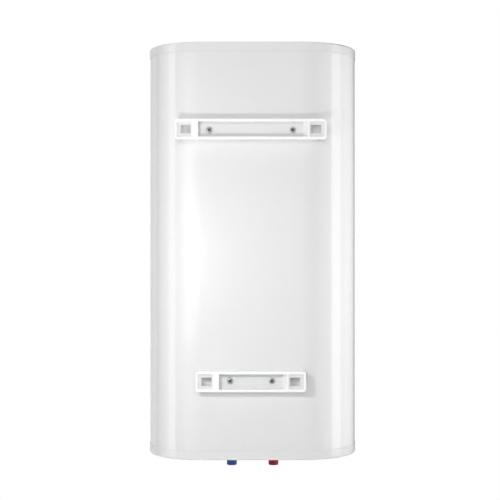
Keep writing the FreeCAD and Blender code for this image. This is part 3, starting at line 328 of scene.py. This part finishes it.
finishes = {
    "shell_paint": enamel("shell_paint", (0.776, 0.775, 0.783), (0.801, 0.799, 0.808), 0.38, 1.0, 0.05,
                          0.000012),
    "cap_plastic": moulded("cap_plastic", (0.766, 0.765, 0.771), (0.796, 0.795, 0.801), 0.33, 0.000006,
                           1400, Coat_Weight=0.6, Coat_Roughness=0.12),
    "bracket_paint": bracketEnamel("bracket_paint"),
    "foam": foamed("foam"),
    "stainless": metal("stainless", (0.48, 0.47, 0.455), (0.64, 0.63, 0.61), 0.28, (1, 1, 14)),
    "zinc_steel": galvanised("zinc_steel"),
    "steel_screw": screwSteel("steel_screw"),
    "blue_cap_plastic": moulded("blue_cap_plastic", (0.014, 0.075, 0.24), (0.022, 0.095, 0.30), 0.24,
                                Specular_IOR_Level=0.22),
    "red_cap_plastic": moulded("red_cap_plastic", (0.29, 0.010, 0.024), (0.35, 0.016, 0.034), 0.24,
                               Specular_IOR_Level=0.22),
    "rubber": moulded("rubber", (0.020, 0.020, 0.021), (0.032, 0.032, 0.033), 0.72, 0.00003),
    "element_sheath": metal("element_sheath", (0.42, 0.27, 0.17), (0.60, 0.42, 0.28), 0.36, (1, 1, 6)),
    "magnesium": metal("magnesium", (0.46, 0.46, 0.47), (0.62, 0.62, 0.63), 0.52, (2, 2, 1), 0.00004,
                       0.8),
    "diffuser_plastic": moulded("diffuser_plastic", (0.70, 0.71, 0.70), (0.80, 0.80, 0.79), 0.42),
    "cutout_plastic": moulded("cutout_plastic", (0.030, 0.030, 0.032), (0.048, 0.048, 0.050), 0.46),
    "reset_plastic": moulded("reset_plastic", (0.55, 0.045, 0.035), (0.64, 0.060, 0.045), 0.34),
    "probe_metal": metal("probe_metal", (0.55, 0.40, 0.24), (0.70, 0.54, 0.34), 0.30, (1, 1, 9)),
    "gland_plastic": moulded("gland_plastic", (0.50, 0.51, 0.51), (0.58, 0.59, 0.59), 0.44),
    "terminal_plastic": moulded("terminal_plastic", (0.72, 0.70, 0.62), (0.80, 0.78, 0.70), 0.40),
    "lead_insulation": moulded("lead_insulation", (0.10, 0.10, 0.11), (0.16, 0.16, 0.17), 0.48),
    "panel_plastic": moulded("panel_plastic", (0.62, 0.63, 0.64), (0.66, 0.67, 0.68), 0.30, 0.000008, 1200,
                             Coat_Weight=0.4, Coat_Roughness=0.12),
    "window_glass": moulded("window_glass", (0.010, 0.011, 0.013), (0.014, 0.015, 0.018), 0.07, 0.000001),
    "display_plastic": moulded("display_plastic", (0.02, 0.05, 0.06), (0.03, 0.07, 0.08), 0.30),
    "housing_plastic": moulded("housing_plastic", (0.05, 0.05, 0.055), (0.075, 0.075, 0.08), 0.50),
    "board_laminate": moulded("board_laminate", (0.015, 0.14, 0.06), (0.025, 0.19, 0.08), 0.32),
    "knob_plastic": moulded("knob_plastic", (0.40, 0.41, 0.42), (0.46, 0.47, 0.48), 0.28),
    "shaft_plastic": moulded("shaft_plastic", (0.66, 0.66, 0.63), (0.74, 0.74, 0.71), 0.40),
    "button_plastic": moulded("button_plastic", (0.40, 0.41, 0.42), (0.46, 0.47, 0.48), 0.28),
    "switch_plastic": moulded("switch_plastic", (0.03, 0.03, 0.03), (0.05, 0.05, 0.05), 0.40),
}
for node in nodes.values():
    for holder in node.material_slots:
        name = holder.material.name.split(".")[0]
        if name in finishes and holder.material is not finishes[name]:
            holder.material = finishes[name]
        elif name not in finishes:
            print("no finish for", name, "on", node.name)
print("finishes:", len(finishes))

# meshes from grids

mending = dict(merge=1e-6, sliver=1e-7, sharp=32)  # two distances, and the angle of a sharp edge in degrees


def gridPiece(name, points, body, slot, wrapRows=False, wrapColumns=True, sharp=mending["sharp"],
              replaced=(), recess=None):
    # quads between the rows and columns of a grid of points, whose last line joins its first where wrapped
    rows, columns = points.shape[:2]
    index = np.arange(rows * columns).reshape(rows, columns)
    if wrapRows:
        index = np.vstack([index, index[:1]])
    if wrapColumns:
        index = np.hstack([index, index[:, :1]])
    quads = np.stack([index[:-1, :-1], index[:-1, 1:], index[1:, 1:], index[1:, :-1]], axis=-1)
    mesh = bpy.data.meshes.new(name)
    mesh.from_pydata(points.reshape(-1, 3), [], quads.reshape(-1, 4).tolist())
    # recess is a mask per point, read by a finish to paint shade
    if recess is not None:
        mesh.attributes.new("recess", "FLOAT", "POINT").data.foreach_set("value", recess.ravel())
    return addPiece(name, mesh, body, slot, sharp, replaced)


def addPiece(name, mesh, body, slot, sharp=mending["sharp"], replaced=()):
    # an object from a mesh, with its doubles merged, its faces outwards and its finish from the slot
    cleaned = bmesh.new()
    cleaned.from_mesh(mesh)
    bmesh.ops.remove_doubles(cleaned, verts=cleaned.verts, dist=mending["merge"])
    bmesh.ops.dissolve_degenerate(cleaned, edges=cleaned.edges, dist=mending["sliver"])
    bmesh.ops.recalc_face_normals(cleaned, faces=cleaned.faces)
    cleaned.to_mesh(mesh)
    cleaned.free()
    mesh.shade_smooth()
    mesh.set_sharp_from_angle(angle=math.radians(sharp))
    mesh.materials.clear()
    mesh.materials.append(finishes[slot])
    piece = bpy.data.objects.new(name, mesh)
    scene.collection.objects.link(piece)
    if body:
        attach(piece, body)
    for node in replaced:
        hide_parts(node)
    return piece


def midpoint(node):
    # the middle of a node's box
    low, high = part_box(node)
    return (low.x + high.x) / 2, (low.y + high.y) / 2, (low.z + high.z) / 2


def eased(corners, steps):
    # a profile line through corners (across, along, radius): each becomes an arc that touches both its
    # sides, as a rational quadratic curve whose middle weight is the sine of half the corner's angle
    line = []
    for number, (across, along, radius) in enumerate(corners):
        spot = np.array((across, along))
        if radius == 0:
            line.append(spot[None, :])
            continue
        before = np.array(corners[number - 1][:2])
        after = np.array(corners[(number + 1) % len(corners)][:2])
        back = (before - spot) / np.linalg.norm(before - spot)
        on = (after - spot) / np.linalg.norm(after - spot)
        half = math.acos(np.clip(back @ on, -1, 1)) / 2
        reach, weight = radius / math.tan(half), math.sin(half)
        s = np.linspace(0, 1, steps + 1)[:, None]
        first, middling, last = (1 - s) ** 2, 2 * weight * s * (1 - s), s ** 2
        top = first * (spot + back * reach) + middling * spot + last * (spot + on * reach)
        line.append(top / (first + middling + last))
    return np.vstack(line)


def roundPlan(steps, lead=0.0):
    # once round a circle, lead steps ahead: no base line, and the outward direction at each step
    turn = (np.arange(steps) + lead) * 2 * np.pi / steps
    return np.zeros(steps), np.cos(turn), np.sin(turn)


def casePlan(halfLobe, arcSteps, flatSteps):
    # once round the stadium: a base point on the line between the lobe axes, and the way outwards there
    sweep = np.linspace(-np.pi / 2, np.pi / 2, arcSteps + 1)
    run = np.linspace(1, -1, flatSteps + 1)[1:-1] * halfLobe
    lobe = np.full(arcSteps + 1, halfLobe)
    level = np.zeros(flatSteps - 1)
    base = np.concatenate([lobe, run, -lobe, -run])
    outX = np.concatenate([np.cos(sweep), level, -np.cos(sweep), level])
    outY = np.concatenate([np.sin(sweep), level + 1, -np.sin(sweep), level - 1])
    return base, outX, outY


def sweptGrid(profile, plan, centre=(0, 0), low=0.0):
    # every profile point (radius, height) carried once round the plan
    base, outX, outY = plan
    radius = profile[:, 0][:, None]
    x = centre[0] + base[None, :] + radius * outX[None, :]
    y = centre[1] + radius * outY[None, :]
    z = low + profile[:, 1][:, None] + 0 * base[None, :]
    return np.stack([x, y, z], axis=-1)


def cut(piece, cutters):
    # takes the cutters away from the piece and keeps its materials
    for cutter in cutters:
        modifier = piece.modifiers.new("cut", "BOOLEAN")
        modifier.operation = "DIFFERENCE"
        modifier.solver = "EXACT"
        modifier.object = cutter
    bpy.context.view_layer.update()
    finished = piece.evaluated_get(bpy.context.evaluated_depsgraph_get())
    made = bpy.data.meshes.new_from_object(finished)
    made.name = piece.data.name
    piece.modifiers.clear()
    piece.data = made
    for cutter in cutters:
        bpy.data.objects.remove(cutter)
    made.shade_smooth()
    made.set_sharp_from_angle(angle=math.radians(mending["sharp"]))


def rod(plan, radius, low, high, turnTo=None, centre=(0, 0)):
    # a closed solid on a plan, for cutting: along Z from low to high, or along Y at the height turnTo
    profile = np.array([(0, low), (radius, low), (radius, high), (0, high)])
    grid = sweptGrid(profile, plan, centre)
    if turnTo is not None:
        grid = np.stack([grid[..., 0], grid[..., 2], turnTo - grid[..., 1]], axis=-1)
    return gridPiece("cutter", grid, None, "rubber")


def slab(width, height, corner, low, high, level, cornerSteps=9):
    # a closed block along Y for cutting, its outline a rectangle with a quarter circle at each corner
    halfX, halfZ = width / 2 - corner, height / 2 - corner
    quarters = [np.linspace(start, start + 90, cornerSteps) for start in (0, 90, 180, 270)]
    turn = np.radians(np.concatenate(quarters))
    x = np.repeat([1, -1, -1, 1], cornerSteps) * halfX + corner * np.cos(turn)
    z = level + np.repeat([1, 1, -1, -1], cornerSteps) * halfZ + corner * np.sin(turn)
    whole = np.array([False, True, True, False])[:, None]  # the end rows shrink to the middle
    depth = np.array([low, low, high, high])[:, None] + 0 * x
    grid = np.stack([np.where(whole, x, 0), depth, np.where(whole, z, level)], axis=-1)
    return gridPiece("cutter", grid, None, "rubber")


# the case

# holeLead turns the round cutters half a step, so that none of their corners lies on the case's middle line
caseSizes = dict(arcSteps=144, flatSteps=24, rows=25, wall=0.0008, bossHole=0.0095, bossSteps=48,
                 holeLead=0.5, upperBossX=0.095, lowerBossX=0.0475, windowGap=0.001, windowCorner=0.005,
                 cutInside=0.05, cutOutside=0.02)
shellRadius = (shellHigh.y - shellLow.y) / 2
halfLobe = round((shellHigh.x - shellLow.x) / 2 - shellRadius, 4)
axisY = (shellHigh.y + shellLow.y) / 2
plan = casePlan(halfLobe, caseSizes["arcSteps"], caseSizes["flatSteps"])
print("case:", halfLobe, shellRadius, axisY)

heights = np.linspace(shellLow.z, shellHigh.z, caseSizes["rows"])
outer = np.column_stack([np.full_like(heights, shellRadius), heights])
inner = np.column_stack([np.full_like(heights, shellRadius - caseSizes["wall"]), heights[::-1]])
shellGrid = sweptGrid(np.vstack([outer, inner]), plan, (0, axisY))
shell = gridPiece("caseShell", shellGrid, "heater", "shell_paint", wrapRows=True, replaced=["outer_shell"])
lowerLevel = midpoint("lower_bracket")[2]
screwSpots = [(side * caseSizes["upperBossX"], 0.0) for side in (1, -1)]
screwSpots += [(side * caseSizes["lowerBossX"], lowerLevel) for side in (1, -1)]
bossPlan = roundPlan(caseSizes["bossSteps"], caseSizes["holeLead"])
cutters = [rod(bossPlan, caseSizes["bossHole"], axisY + caseSizes["cutInside"],
               shellHigh.y + caseSizes["cutOutside"], z, (x, 0)) for x, z in screwSpots]
housingLow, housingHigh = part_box("control_housing")
gap = caseSizes["windowGap"]
cutters.append(slab(housingHigh.x - housingLow.x + 2 * gap, housingHigh.z - housingLow.z + 2 * gap,
                    caseSizes["windowCorner"], shellLow.y - caseSizes["cutOutside"],
                    axisY - caseSizes["cutInside"], (housingLow.z + housingHigh.z) / 2))
cut(shell, cutters)

cap = dict(hem=(topHigh.y - topLow.y) / 2, skirt=0.1306, inside=0.1298, body=0.1271, height=0.022,
           hemHeight=0.0018, ledge=0.008, faceWall=0.0025, edge=0.0045, foldRadius=0.00025,
           lipRadius=0.00028, hemRadius=0.0004, mouthRadius=0.0002, arcSteps=8)


def capProfile():
    # from the middle of the face, over the edge, down the skirt to its rolled hem and back inside
    top, under = cap["height"], cap["height"] - cap["faceWall"]
    ledge = cap["height"] - cap["ledge"]
    return eased([
        (0, top, 0), (cap["skirt"], top, cap["edge"]), (cap["skirt"], cap["hemHeight"], cap["foldRadius"]),
        (cap["hem"], cap["hemHeight"], cap["lipRadius"]), (cap["hem"], 0, cap["hemRadius"]),
        (cap["inside"], 0, cap["mouthRadius"]), (cap["inside"], ledge, 0), (cap["body"], ledge, 0),
        (cap["body"], under, 0), (0, under, 0)], cap["arcSteps"])


topGrid = sweptGrid(capProfile(), plan, (0, axisY), topLow.z)
gridPiece("topCap", topGrid, "heater", "cap_plastic", replaced=["top_cap"])
bottomGrid = sweptGrid(capProfile() * np.array((1, -1)), plan, (0, axisY), bottomHigh.z)
bottomCap = gridPiece("bottomCap", bottomGrid, "heater", "cap_plastic", replaced=["bottom_cap"])

capHoles = dict(pipe=0.01348, screw=0.0023, gland=0.0083, reset=0.0053, screwHead=0.004, steps=64,
                below=0.01, above=0.015)
pipeX = midpoint("cold_nipple")[0]
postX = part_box("cap_screws")[1].x - capHoles["screwHead"]
holes = [(pipeX, axisY, capHoles["pipe"]), (-pipeX, axisY, capHoles["pipe"]),
         (postX, axisY, capHoles["screw"]), (-postX, axisY, capHoles["screw"]),
         (0, midpoint("cable_gland")[1], capHoles["gland"]),
         (0, midpoint("reset_button")[1], capHoles["reset"])]
floorLow, floorHigh = bottomLow.z - capHoles["below"], bottomLow.z + capHoles["above"]
holePlan = roundPlan(capHoles["steps"], caseSizes["holeLead"])
cut(bottomCap, [rod(holePlan, radius, floorLow, floorHigh, None, (x, y)) for x, y, radius in holes])
print("case made:", len(screwSpots) + 1, "openings in the shell,", len(holes), "in the bottom cap")

# transport caps on the threads

ribbed = dict(radius=0.012, inside=0.01075, floor=0.0022, chamfer=0.0012, chamferRadius=0.0006,
              rimRadius=0.00025, mouthRadius=0.0002, floorRadius=0.0003, arcSteps=5, ribs=30, ribSteps=12,
              grooveDepth=0.0003, grooveShape=0.7, sharp=40)


def threadCap(name, node, body, slot):
    # a turned cup: at each rib its outside is lowered by the groove's depth times a cosine to a power
    low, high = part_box(node)
    centreX, centreY = midpoint(node)[:2]
    tall = high.z - low.z
    rim, mouth = ribbed["radius"], ribbed["inside"]
    line = eased([
        (0, 0, 0), (rim - ribbed["chamfer"], 0, ribbed["chamferRadius"]),
        (rim, ribbed["chamfer"], ribbed["chamferRadius"]), (rim, tall, ribbed["rimRadius"]),
        (mouth, tall, ribbed["mouthRadius"]), (mouth, ribbed["floor"], ribbed["floorRadius"]),
        (0, ribbed["floor"], 0)], ribbed["arcSteps"])
    count = ribbed["ribs"] * ribbed["ribSteps"]
    outX, outY = roundPlan(count)[1:]
    phase = np.arange(count) * 2 * np.pi / ribbed["ribSteps"]
    groove = np.clip(np.cos(phase), 0, 1) ** ribbed["grooveShape"] * ribbed["grooveDepth"]
    outside = (line[:, 0] > mouth + ribbed["grooveDepth"])[:, None]
    radius = line[:, 0][:, None] - outside * groove[None, :]
    grid = np.stack([centreX + radius * outX, centreY + radius * outY,
                     low.z + line[:, 1][:, None] + 0 * radius], axis=-1)
    return gridPiece(name, grid, body, slot, sharp=ribbed["sharp"], replaced=[node])


threadCap("coldTransportCap", "cold_thread_cap", "cold_cap", "blue_cap_plastic")
threadCap("hotTransportCap", "hot_thread_cap", "hot_cap", "red_cap_plastic")

# pipe threads under the transport caps

thread = dict(pitch=0.001814, depth=0.00116, length=0.0205, runOut=0.0012, chamfer=0.0012, bore=0.008,
              perTurn=16, around=72, sharp=50)


def threadedPipe(name, node, body, slot):
    # a right-hand thread: the radius falls by a cosine of height over pitch less the turn, and the fall
    # eases out at both ends
    low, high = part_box(node)
    centreX, centreY = midpoint(node)[:2]
    radius = (high.x - low.x) / 2
    start = low.z + thread["chamfer"]
    rows = np.arange(0, thread["length"], thread["pitch"] / thread["perTurn"])
    height = np.concatenate([[low.z, low.z], start + rows, [high.z, high.z]])
    chamfered, whole = [thread["bore"], radius - thread["chamfer"]], [radius, thread["bore"]]
    across = np.concatenate([chamfered, np.full(len(rows), radius), whole])
    turn = np.arange(thread["around"]) * 2 * np.pi / thread["around"]
    ease = np.clip(np.minimum(rows, rows[-1] - rows) / thread["runOut"], 0, 1)
    ease = np.concatenate([[0, 0], ease, [0, 0]])[:, None]
    wave = 0.5 - 0.5 * np.cos(2 * np.pi * height[:, None] / thread["pitch"] - turn)
    reach = across[:, None] - thread["depth"] * ease * wave
    grid = np.stack([centreX + reach * np.cos(turn), centreY + reach * np.sin(turn),
                     height[:, None] + 0 * reach], axis=-1)
    return gridPiece(name, grid, body, slot, wrapRows=True, sharp=thread["sharp"], replaced=[node])


threadedPipe("coldPipeEnd", "cold_nipple", "heater", "stainless")
threadedPipe("hotPipeEnd", "hot_nipple", "heater", "stainless")

# softened copies of pressed and moulded CAD pieces

softening = dict(level=0.02, edgeAngle=38, facing=0.99, sunkBy=0.001)


def softened(node, name, body, slot, width, segments=3):
    # the node's own shape with its doubles merged, its flat faces whole and its edges rounded off
    mesh = nodes[node].data.copy()
    mesh.name = name
    work = bmesh.new()
    work.from_mesh(mesh)
    bmesh.ops.remove_doubles(work, verts=work.verts, dist=mending["merge"])
    bmesh.ops.dissolve_limit(work, angle_limit=math.radians(softening["level"]), verts=work.verts,
                             edges=work.edges)
    work.to_mesh(mesh)
    work.free()
    # recess is 1 on the faces that look at the wall from more than sunkBy behind its plane, where the
    # brackets' finish paints shade
    normals, centres = np.empty((2, len(mesh.polygons) * 3))
    mesh.polygons.foreach_get("normal", normals)
    mesh.polygons.foreach_get("center", centres)
    sunk = (normals[1::3] > softening["facing"]) & (centres[1::3] < -softening["sunkBy"])
    mesh.attributes.new("recess", "FLOAT", "FACE").data.foreach_set("value", sunk.astype(float))
    piece = addPiece(name, mesh, body, slot, replaced=[node])
    bevel = piece.modifiers.new("rounded edges", "BEVEL")
    bevel.width = width
    bevel.segments = segments
    bevel.limit_method = "ANGLE"
    bevel.angle_limit = math.radians(softening["edgeAngle"])
    bevel.harden_normals = True
    bevel.use_clamp_overlap = True
    return piece


softened("upper_bracket", "upperBracket", "heater", "bracket_paint", 0.0006)
softened("lower_bracket", "lowerBracket", "heater", "bracket_paint", 0.0006)
softened("control_panel", "controlPanel", "heater", "panel_plastic", 0.0003, 2)
softened("display_window", "displayWindow", "heater", "window_glass", 0.0002, 2)
softened("temperature_knob", "temperatureKnob", "knob", "knob_plastic", 0.0002, 2)
softened("power_button", "powerButton", "power_key", "button_plastic", 0.0002, 2)
softened("mode_button", "modeButton", "mode_key", "button_plastic", 0.0002, 2)
softened("reset_button", "resetButton", "reset_key", "reset_plastic", 0.0002, 2)
softened("cable_gland", "cableGland", "heater", "gland_plastic", 0.0003, 2)

# bracket screws

screw = dict(shank=0.004, point=0.001, length=0.024, head=0.0075, tall=0.005, dome=0.0032,
             armLength=0.0094, armWidth=0.0023, recessDepth=0.0026, blend=0.0005, turned=(40, 46, 38, 50),
             rings=40, around=96)


def screwGrid(turned):
    # a pan head on a shank: (radius, height) carried round, the dome lowered inside a cross of two bars
    face = np.linspace(0, screw["head"], screw["rings"])
    slope = np.clip((face - screw["head"] + screw["dome"]) / screw["dome"], 0, 1)
    rise = screw["tall"] - screw["dome"] * (1 - np.sqrt(1 - slope ** 2))
    tip = -screw["length"]
    rim = np.array([(screw["head"], 0), (screw["shank"], 0), (screw["shank"], screw["point"] + tip),
                    (screw["shank"] - screw["point"], tip), (0, tip)])
    radius = np.concatenate([face, rim[:, 0]])[:, None]
    height = np.concatenate([rise, rim[:, 1]])[:, None]
    turn = np.arange(screw["around"]) * 2 * np.pi / screw["around"]
    x, z = radius * np.cos(turn), radius * np.sin(turn)
    tilt = math.radians(turned)
    across = np.abs(x * math.cos(tilt) + z * math.sin(tilt))
    along = np.abs(z * math.cos(tilt) - x * math.sin(tilt))

    def bar(first, second):
        # 1 inside a bar, 0 outside, falling over the blend
        ends = np.clip((screw["armLength"] / 2 - first) / screw["blend"], 0, 1)
        return ends * np.clip((screw["armWidth"] / 2 - second) / screw["blend"], 0, 1)

    cross = np.maximum(bar(across, along), bar(along, across)) * (height > screw["tall"] / 2)
    return np.stack([x, height - screw["recessDepth"] * cross, z], axis=-1), cross


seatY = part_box("bracket_screws")[1].y - screw["tall"]
for number, ((x, z), turned) in enumerate(zip(screwSpots, screw["turned"])):
    grid, cross = screwGrid(turned)
    # the cross mask also carries the painted shade of the screw's recess
    gridPiece("bracketScrew%d" % number, grid + (x, seatY, z), "heater", "steel_screw", recess=cross,
              replaced=["bracket_screws"] if number == 0 else ())
print("screws made:", len(screwSpots))

# print on the front panel and its controls

marks = dict(proud=0.00008, sunk=0.0001, tick=0.0005, tickFrom=0.0192, tickTo=0.0214, longer=0.0012,
             halfTurn=135, tickStep=15, figureRing=0.0262, figureSize=0.0048,
             figures={-135: "30", -45: "45", 45: "60", 135: "75"})
symbols = dict(size=0.0022, line=0.00055, ringGap=35, ringSteps=33, stemLift=0.65, stemHalf=0.55,
               barGap=0.75)


def strip(line, width, low, high):
    # a flat strip along a line of (x, z): its edges lie half a width to each side, square to the line
    line = np.array(line)
    along = np.gradient(line, axis=0)
    aside = np.stack([-along[:, 1], along[:, 0]], axis=1)
    aside *= width / 2 / np.linalg.norm(aside, axis=1)[:, None]
    near, far = line - aside, line + aside
    count = len(line)
    corners = [np.column_stack([edge[:, 0], np.full(count, depth), edge[:, 1]])
               for edge, depth in ((near, low), (far, low), (far, high), (near, high))]
    grid = np.stack(corners, axis=1)
    index = np.arange(count * 4).reshape(count, 4)
    turned = np.roll(index, -1, axis=1)
    sides = np.stack([index[:-1], turned[:-1], turned[1:], index[1:]], axis=-1).reshape(-1, 4)
    return grid.reshape(-1, 3), [*sides.tolist(), index[0].tolist(), index[-1].tolist()]


def arc(x, z, radius, start, end, steps=2):
    # points round (x, z) from start to end, in degrees clockwise from the top
    turn = np.radians(np.linspace(start, end, steps))
    return np.column_stack([x + radius * np.sin(turn), z + radius * np.cos(turn)])


def figure(words, x, z, size, low):
    # a number in the panel's plane: the digits' own x and y become x and z
    digits = bpy.data.curves.new("figure", "FONT")
    digits.body = words
    digits.size = size
    digits.align_x = "CENTER"
    digits.align_y = "CENTER"
    digits.extrude = marks["proud"] / 2
    holder = bpy.data.objects.new("figure", digits)
    mesh = bpy.data.meshes.new_from_object(holder)
    spots = np.empty(len(mesh.vertices) * 3)
    mesh.vertices.foreach_get("co", spots)
    across, up, out = spots.reshape(-1, 3).T
    faces = [list(face.vertices) for face in mesh.polygons]
    bpy.data.objects.remove(holder)
    return np.column_stack([x + across, low + marks["proud"] / 2 - out, z + up]), faces


def printed(name, body, parts):
    # several thin solids, each (points, faces), in one mesh
    points, faces = [], []
    for spots, corners in parts:
        faces += [[len(points) + corner for corner in face] for face in corners]
        points += spots.tolist()
    mesh = bpy.data.meshes.new(name)
    mesh.from_pydata(points, [], faces)
    addPiece(name, mesh, body, "housing_plastic")


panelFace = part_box("control_panel")[0].y
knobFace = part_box("temperature_knob")[0].y
knobX, knobZ = midpoint("temperature_knob")[::2]
dial = []
for angle in range(-marks["halfTurn"], marks["halfTurn"] + 1, marks["tickStep"]):
    tickTo = marks["tickTo"] + (marks["longer"] if angle in marks["figures"] else 0)
    ends = np.vstack([arc(knobX, knobZ, reach, angle, angle, 1) for reach in (marks["tickFrom"], tickTo)])
    dial.append(strip(ends, marks["tick"], panelFace - marks["proud"], panelFace + marks["sunk"]))
for angle, words in marks["figures"].items():
    x, z = arc(knobX, knobZ, marks["figureRing"], angle, angle, 1)[0]
    dial.append(figure(words, x, z, marks["figureSize"], panelFace - marks["proud"]))
printed("dialMarks", "heater", dial)


def keySymbol(name, node, body, lines):
    # lines of (x, z), drawn on the front of a key
    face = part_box(node)[0].y
    low, high = face - marks["proud"], face + marks["sunk"]
    printed(name, body, [strip(line, symbols["line"], low, high) for line in lines])


size = symbols["size"]
x, z = midpoint("power_button")[::2]
ring = arc(x, z, size, symbols["ringGap"], 360 - symbols["ringGap"], symbols["ringSteps"])
stem = arc(x, z + size * symbols["stemLift"], size * symbols["stemHalf"], 0, 180)
keySymbol("powerSymbol", "power_button", "power_key", [ring, stem])
x, z = midpoint("mode_button")[::2]
levels = [z + step * size for step in (-symbols["barGap"], 0, symbols["barGap"])]
bars = [((x - size, level), (x + size, level)) for level in levels]
keySymbol("modeSymbol", "mode_button", "mode_key", bars)

pointer = dict(width=0.0014, reach=0.0146, length=0.0076, below=0.0003, floor=0.0009)
line = [(knobX, knobZ + pointer["reach"] - pointer["length"]), (knobX, knobZ + pointer["reach"])]
printed("knobPointer", "knob",
        [strip(line, pointer["width"], knobFace + pointer["below"], knobFace + pointer["floor"])])
print("panel printed")

# floor and surroundings

stage = dict(level=-1.39, rings=(0.0, 0.5, 1.0, 2.0, 9.0), sides=96, plain=0.8, fade=1.2)
sky = Finish(bpy.data.worlds.new("surroundings"))
ways = "Is Camera Ray", "Is Glossy Ray", "Is Transmission Ray"


def plainlySeen(finish):
    # 1 for rays from the lens or off a glossy or clear surface, 0 for soft bounced light
    lens, glossy, through = [finish.node("ShaderNodeLightPath", outlet=way) for way in ways]
    return finish.node("ShaderNodeClamp", None, {0: lens + glossy + through})


strength = lights["ambient"] + plainlySeen(sky) * (1 - lights["ambient"])
sky.close(sky.node("ShaderNodeBackground", None, {"Color": (1, 1, 1), "Strength": strength}),
          "ShaderNodeOutputWorld")
scene.world = sky.owner

ground = newFinish("floorFinish")
x, y = ground.axis("X"), ground.axis("Y")
away = (x * x + y * y).power(0.5)
floorTone = ground.tint(ground.noise(40, 3), (0.86, 0.86, 0.86), (0.89, 0.89, 0.89))
plainFloor = ground.principled(Base_Color=floorTone, Roughness=0.8)
white = ground.node("ShaderNodeEmission", None, {"Color": (1, 1, 1), "Strength": 1.0})
farAway = away.above(stage["plain"], stage["fade"]) * plainlySeen(ground)
finishes["floor"] = ground.close(mixed(ground, farAway, plainFloor, white))
turn = np.arange(stage["sides"]) * 2 * np.pi / stage["sides"]
rings = np.array(stage["rings"])[:, None]
disc = np.stack([rings * np.cos(turn), rings * np.sin(turn), 0 * rings * turn + stage["level"]], axis=-1)
gridPiece("floor", disc, None, "floor")

# tall light boxes round the heater, which only its reflections show
# each is (start, end, brightness at its start, brightness at its end), in degrees from +Y

cards = dict(distance=1.5, low=-2.4, high=1.8, sides=180, bands=5, brightest=10, edge=0.6, drop=0.05,
             glowLift=0.13, glowFall=1.5, glowPower=-2, sideFall=0.45, seam=0.001,
             leftGlow=[(5, 30, 0, 4), (30, 60, 4, 2), (60, 180, 0, 0)],
             leftBoxes=[(60, 75, 5, 5), (75, 112, 3, 1), (114, 140, 2.3, 1.7)],
             rightBoxes=[(30, 66, 0, 5), (67, 88, 10, 10), (89, 105, 7, 7), (105, 145, 7, 1)])


def boxStops(boxes):
    # a ramp's stops over half a turn: dark before the first box, and a soft edge where each one starts
    stops = [(boxes[0][0], 0)]
    for start, end, first, last in boxes:
        stops += [(start + cards["edge"], first), (end, last)]
    return [(degrees / 180, tone / cards["brightest"]) for degrees, tone in stops]


turn = np.radians(np.linspace(0, 360, cards["sides"] + 1))
levels = np.linspace(cards["low"], cards["high"], cards["bands"])[:, None]
drum = np.stack([cards["distance"] * np.sin(turn) + 0 * levels,
                 middle.y + cards["distance"] * np.cos(turn) + 0 * levels, levels + 0 * turn], axis=-1)
lit = newFinish("cardFinish")
x, y, z = lit.axis("X"), lit.axis("Y") - middle.y, lit.axis("Z") - (middle.z - cards["drop"])
bearing = lit.node("ShaderNodeMath", dict(operation="ARCTAN2"), {0: x, 1: y}) * (1 / math.pi)
tones = []
for boxes, facing in (("leftGlow", bearing), ("leftBoxes", bearing), ("rightBoxes", 0 - bearing)):
    stops = boxStops(cards[boxes])
    tones.append(lit.node("ShaderNodeValToRGB", dict(stops=stops), {0: facing}, outlet="Color"))
glowHeight = z - cards["glowLift"]
glowFade = (1 + cards["glowFall"] * glowHeight * glowHeight).power(cards["glowPower"])
sideFade = 1 - cards["sideFall"] * z * z
onLeft = bearing.above(-cards["seam"], 2 * cards["seam"])
tone = onLeft * (glowFade * tones[0] + tones[1]) + (1 - onLeft) * sideFade * tones[2]
strength = tone * cards["brightest"] * lights["cards"]
glowing = lit.node("ShaderNodeEmission", None, {"Color": (1, 1, 1), "Strength": strength})
finishes["cards"] = lit.close(glowing)
finishes["cards"].cycles.emission_sampling = "NONE"
surround = gridPiece("studioCards", drum, None, "cards", wrapColumns=False)
for way in "camera", "diffuse", "shadow", "transmission", "volume_scatter":
    setattr(surround, "visible_" + way, False)
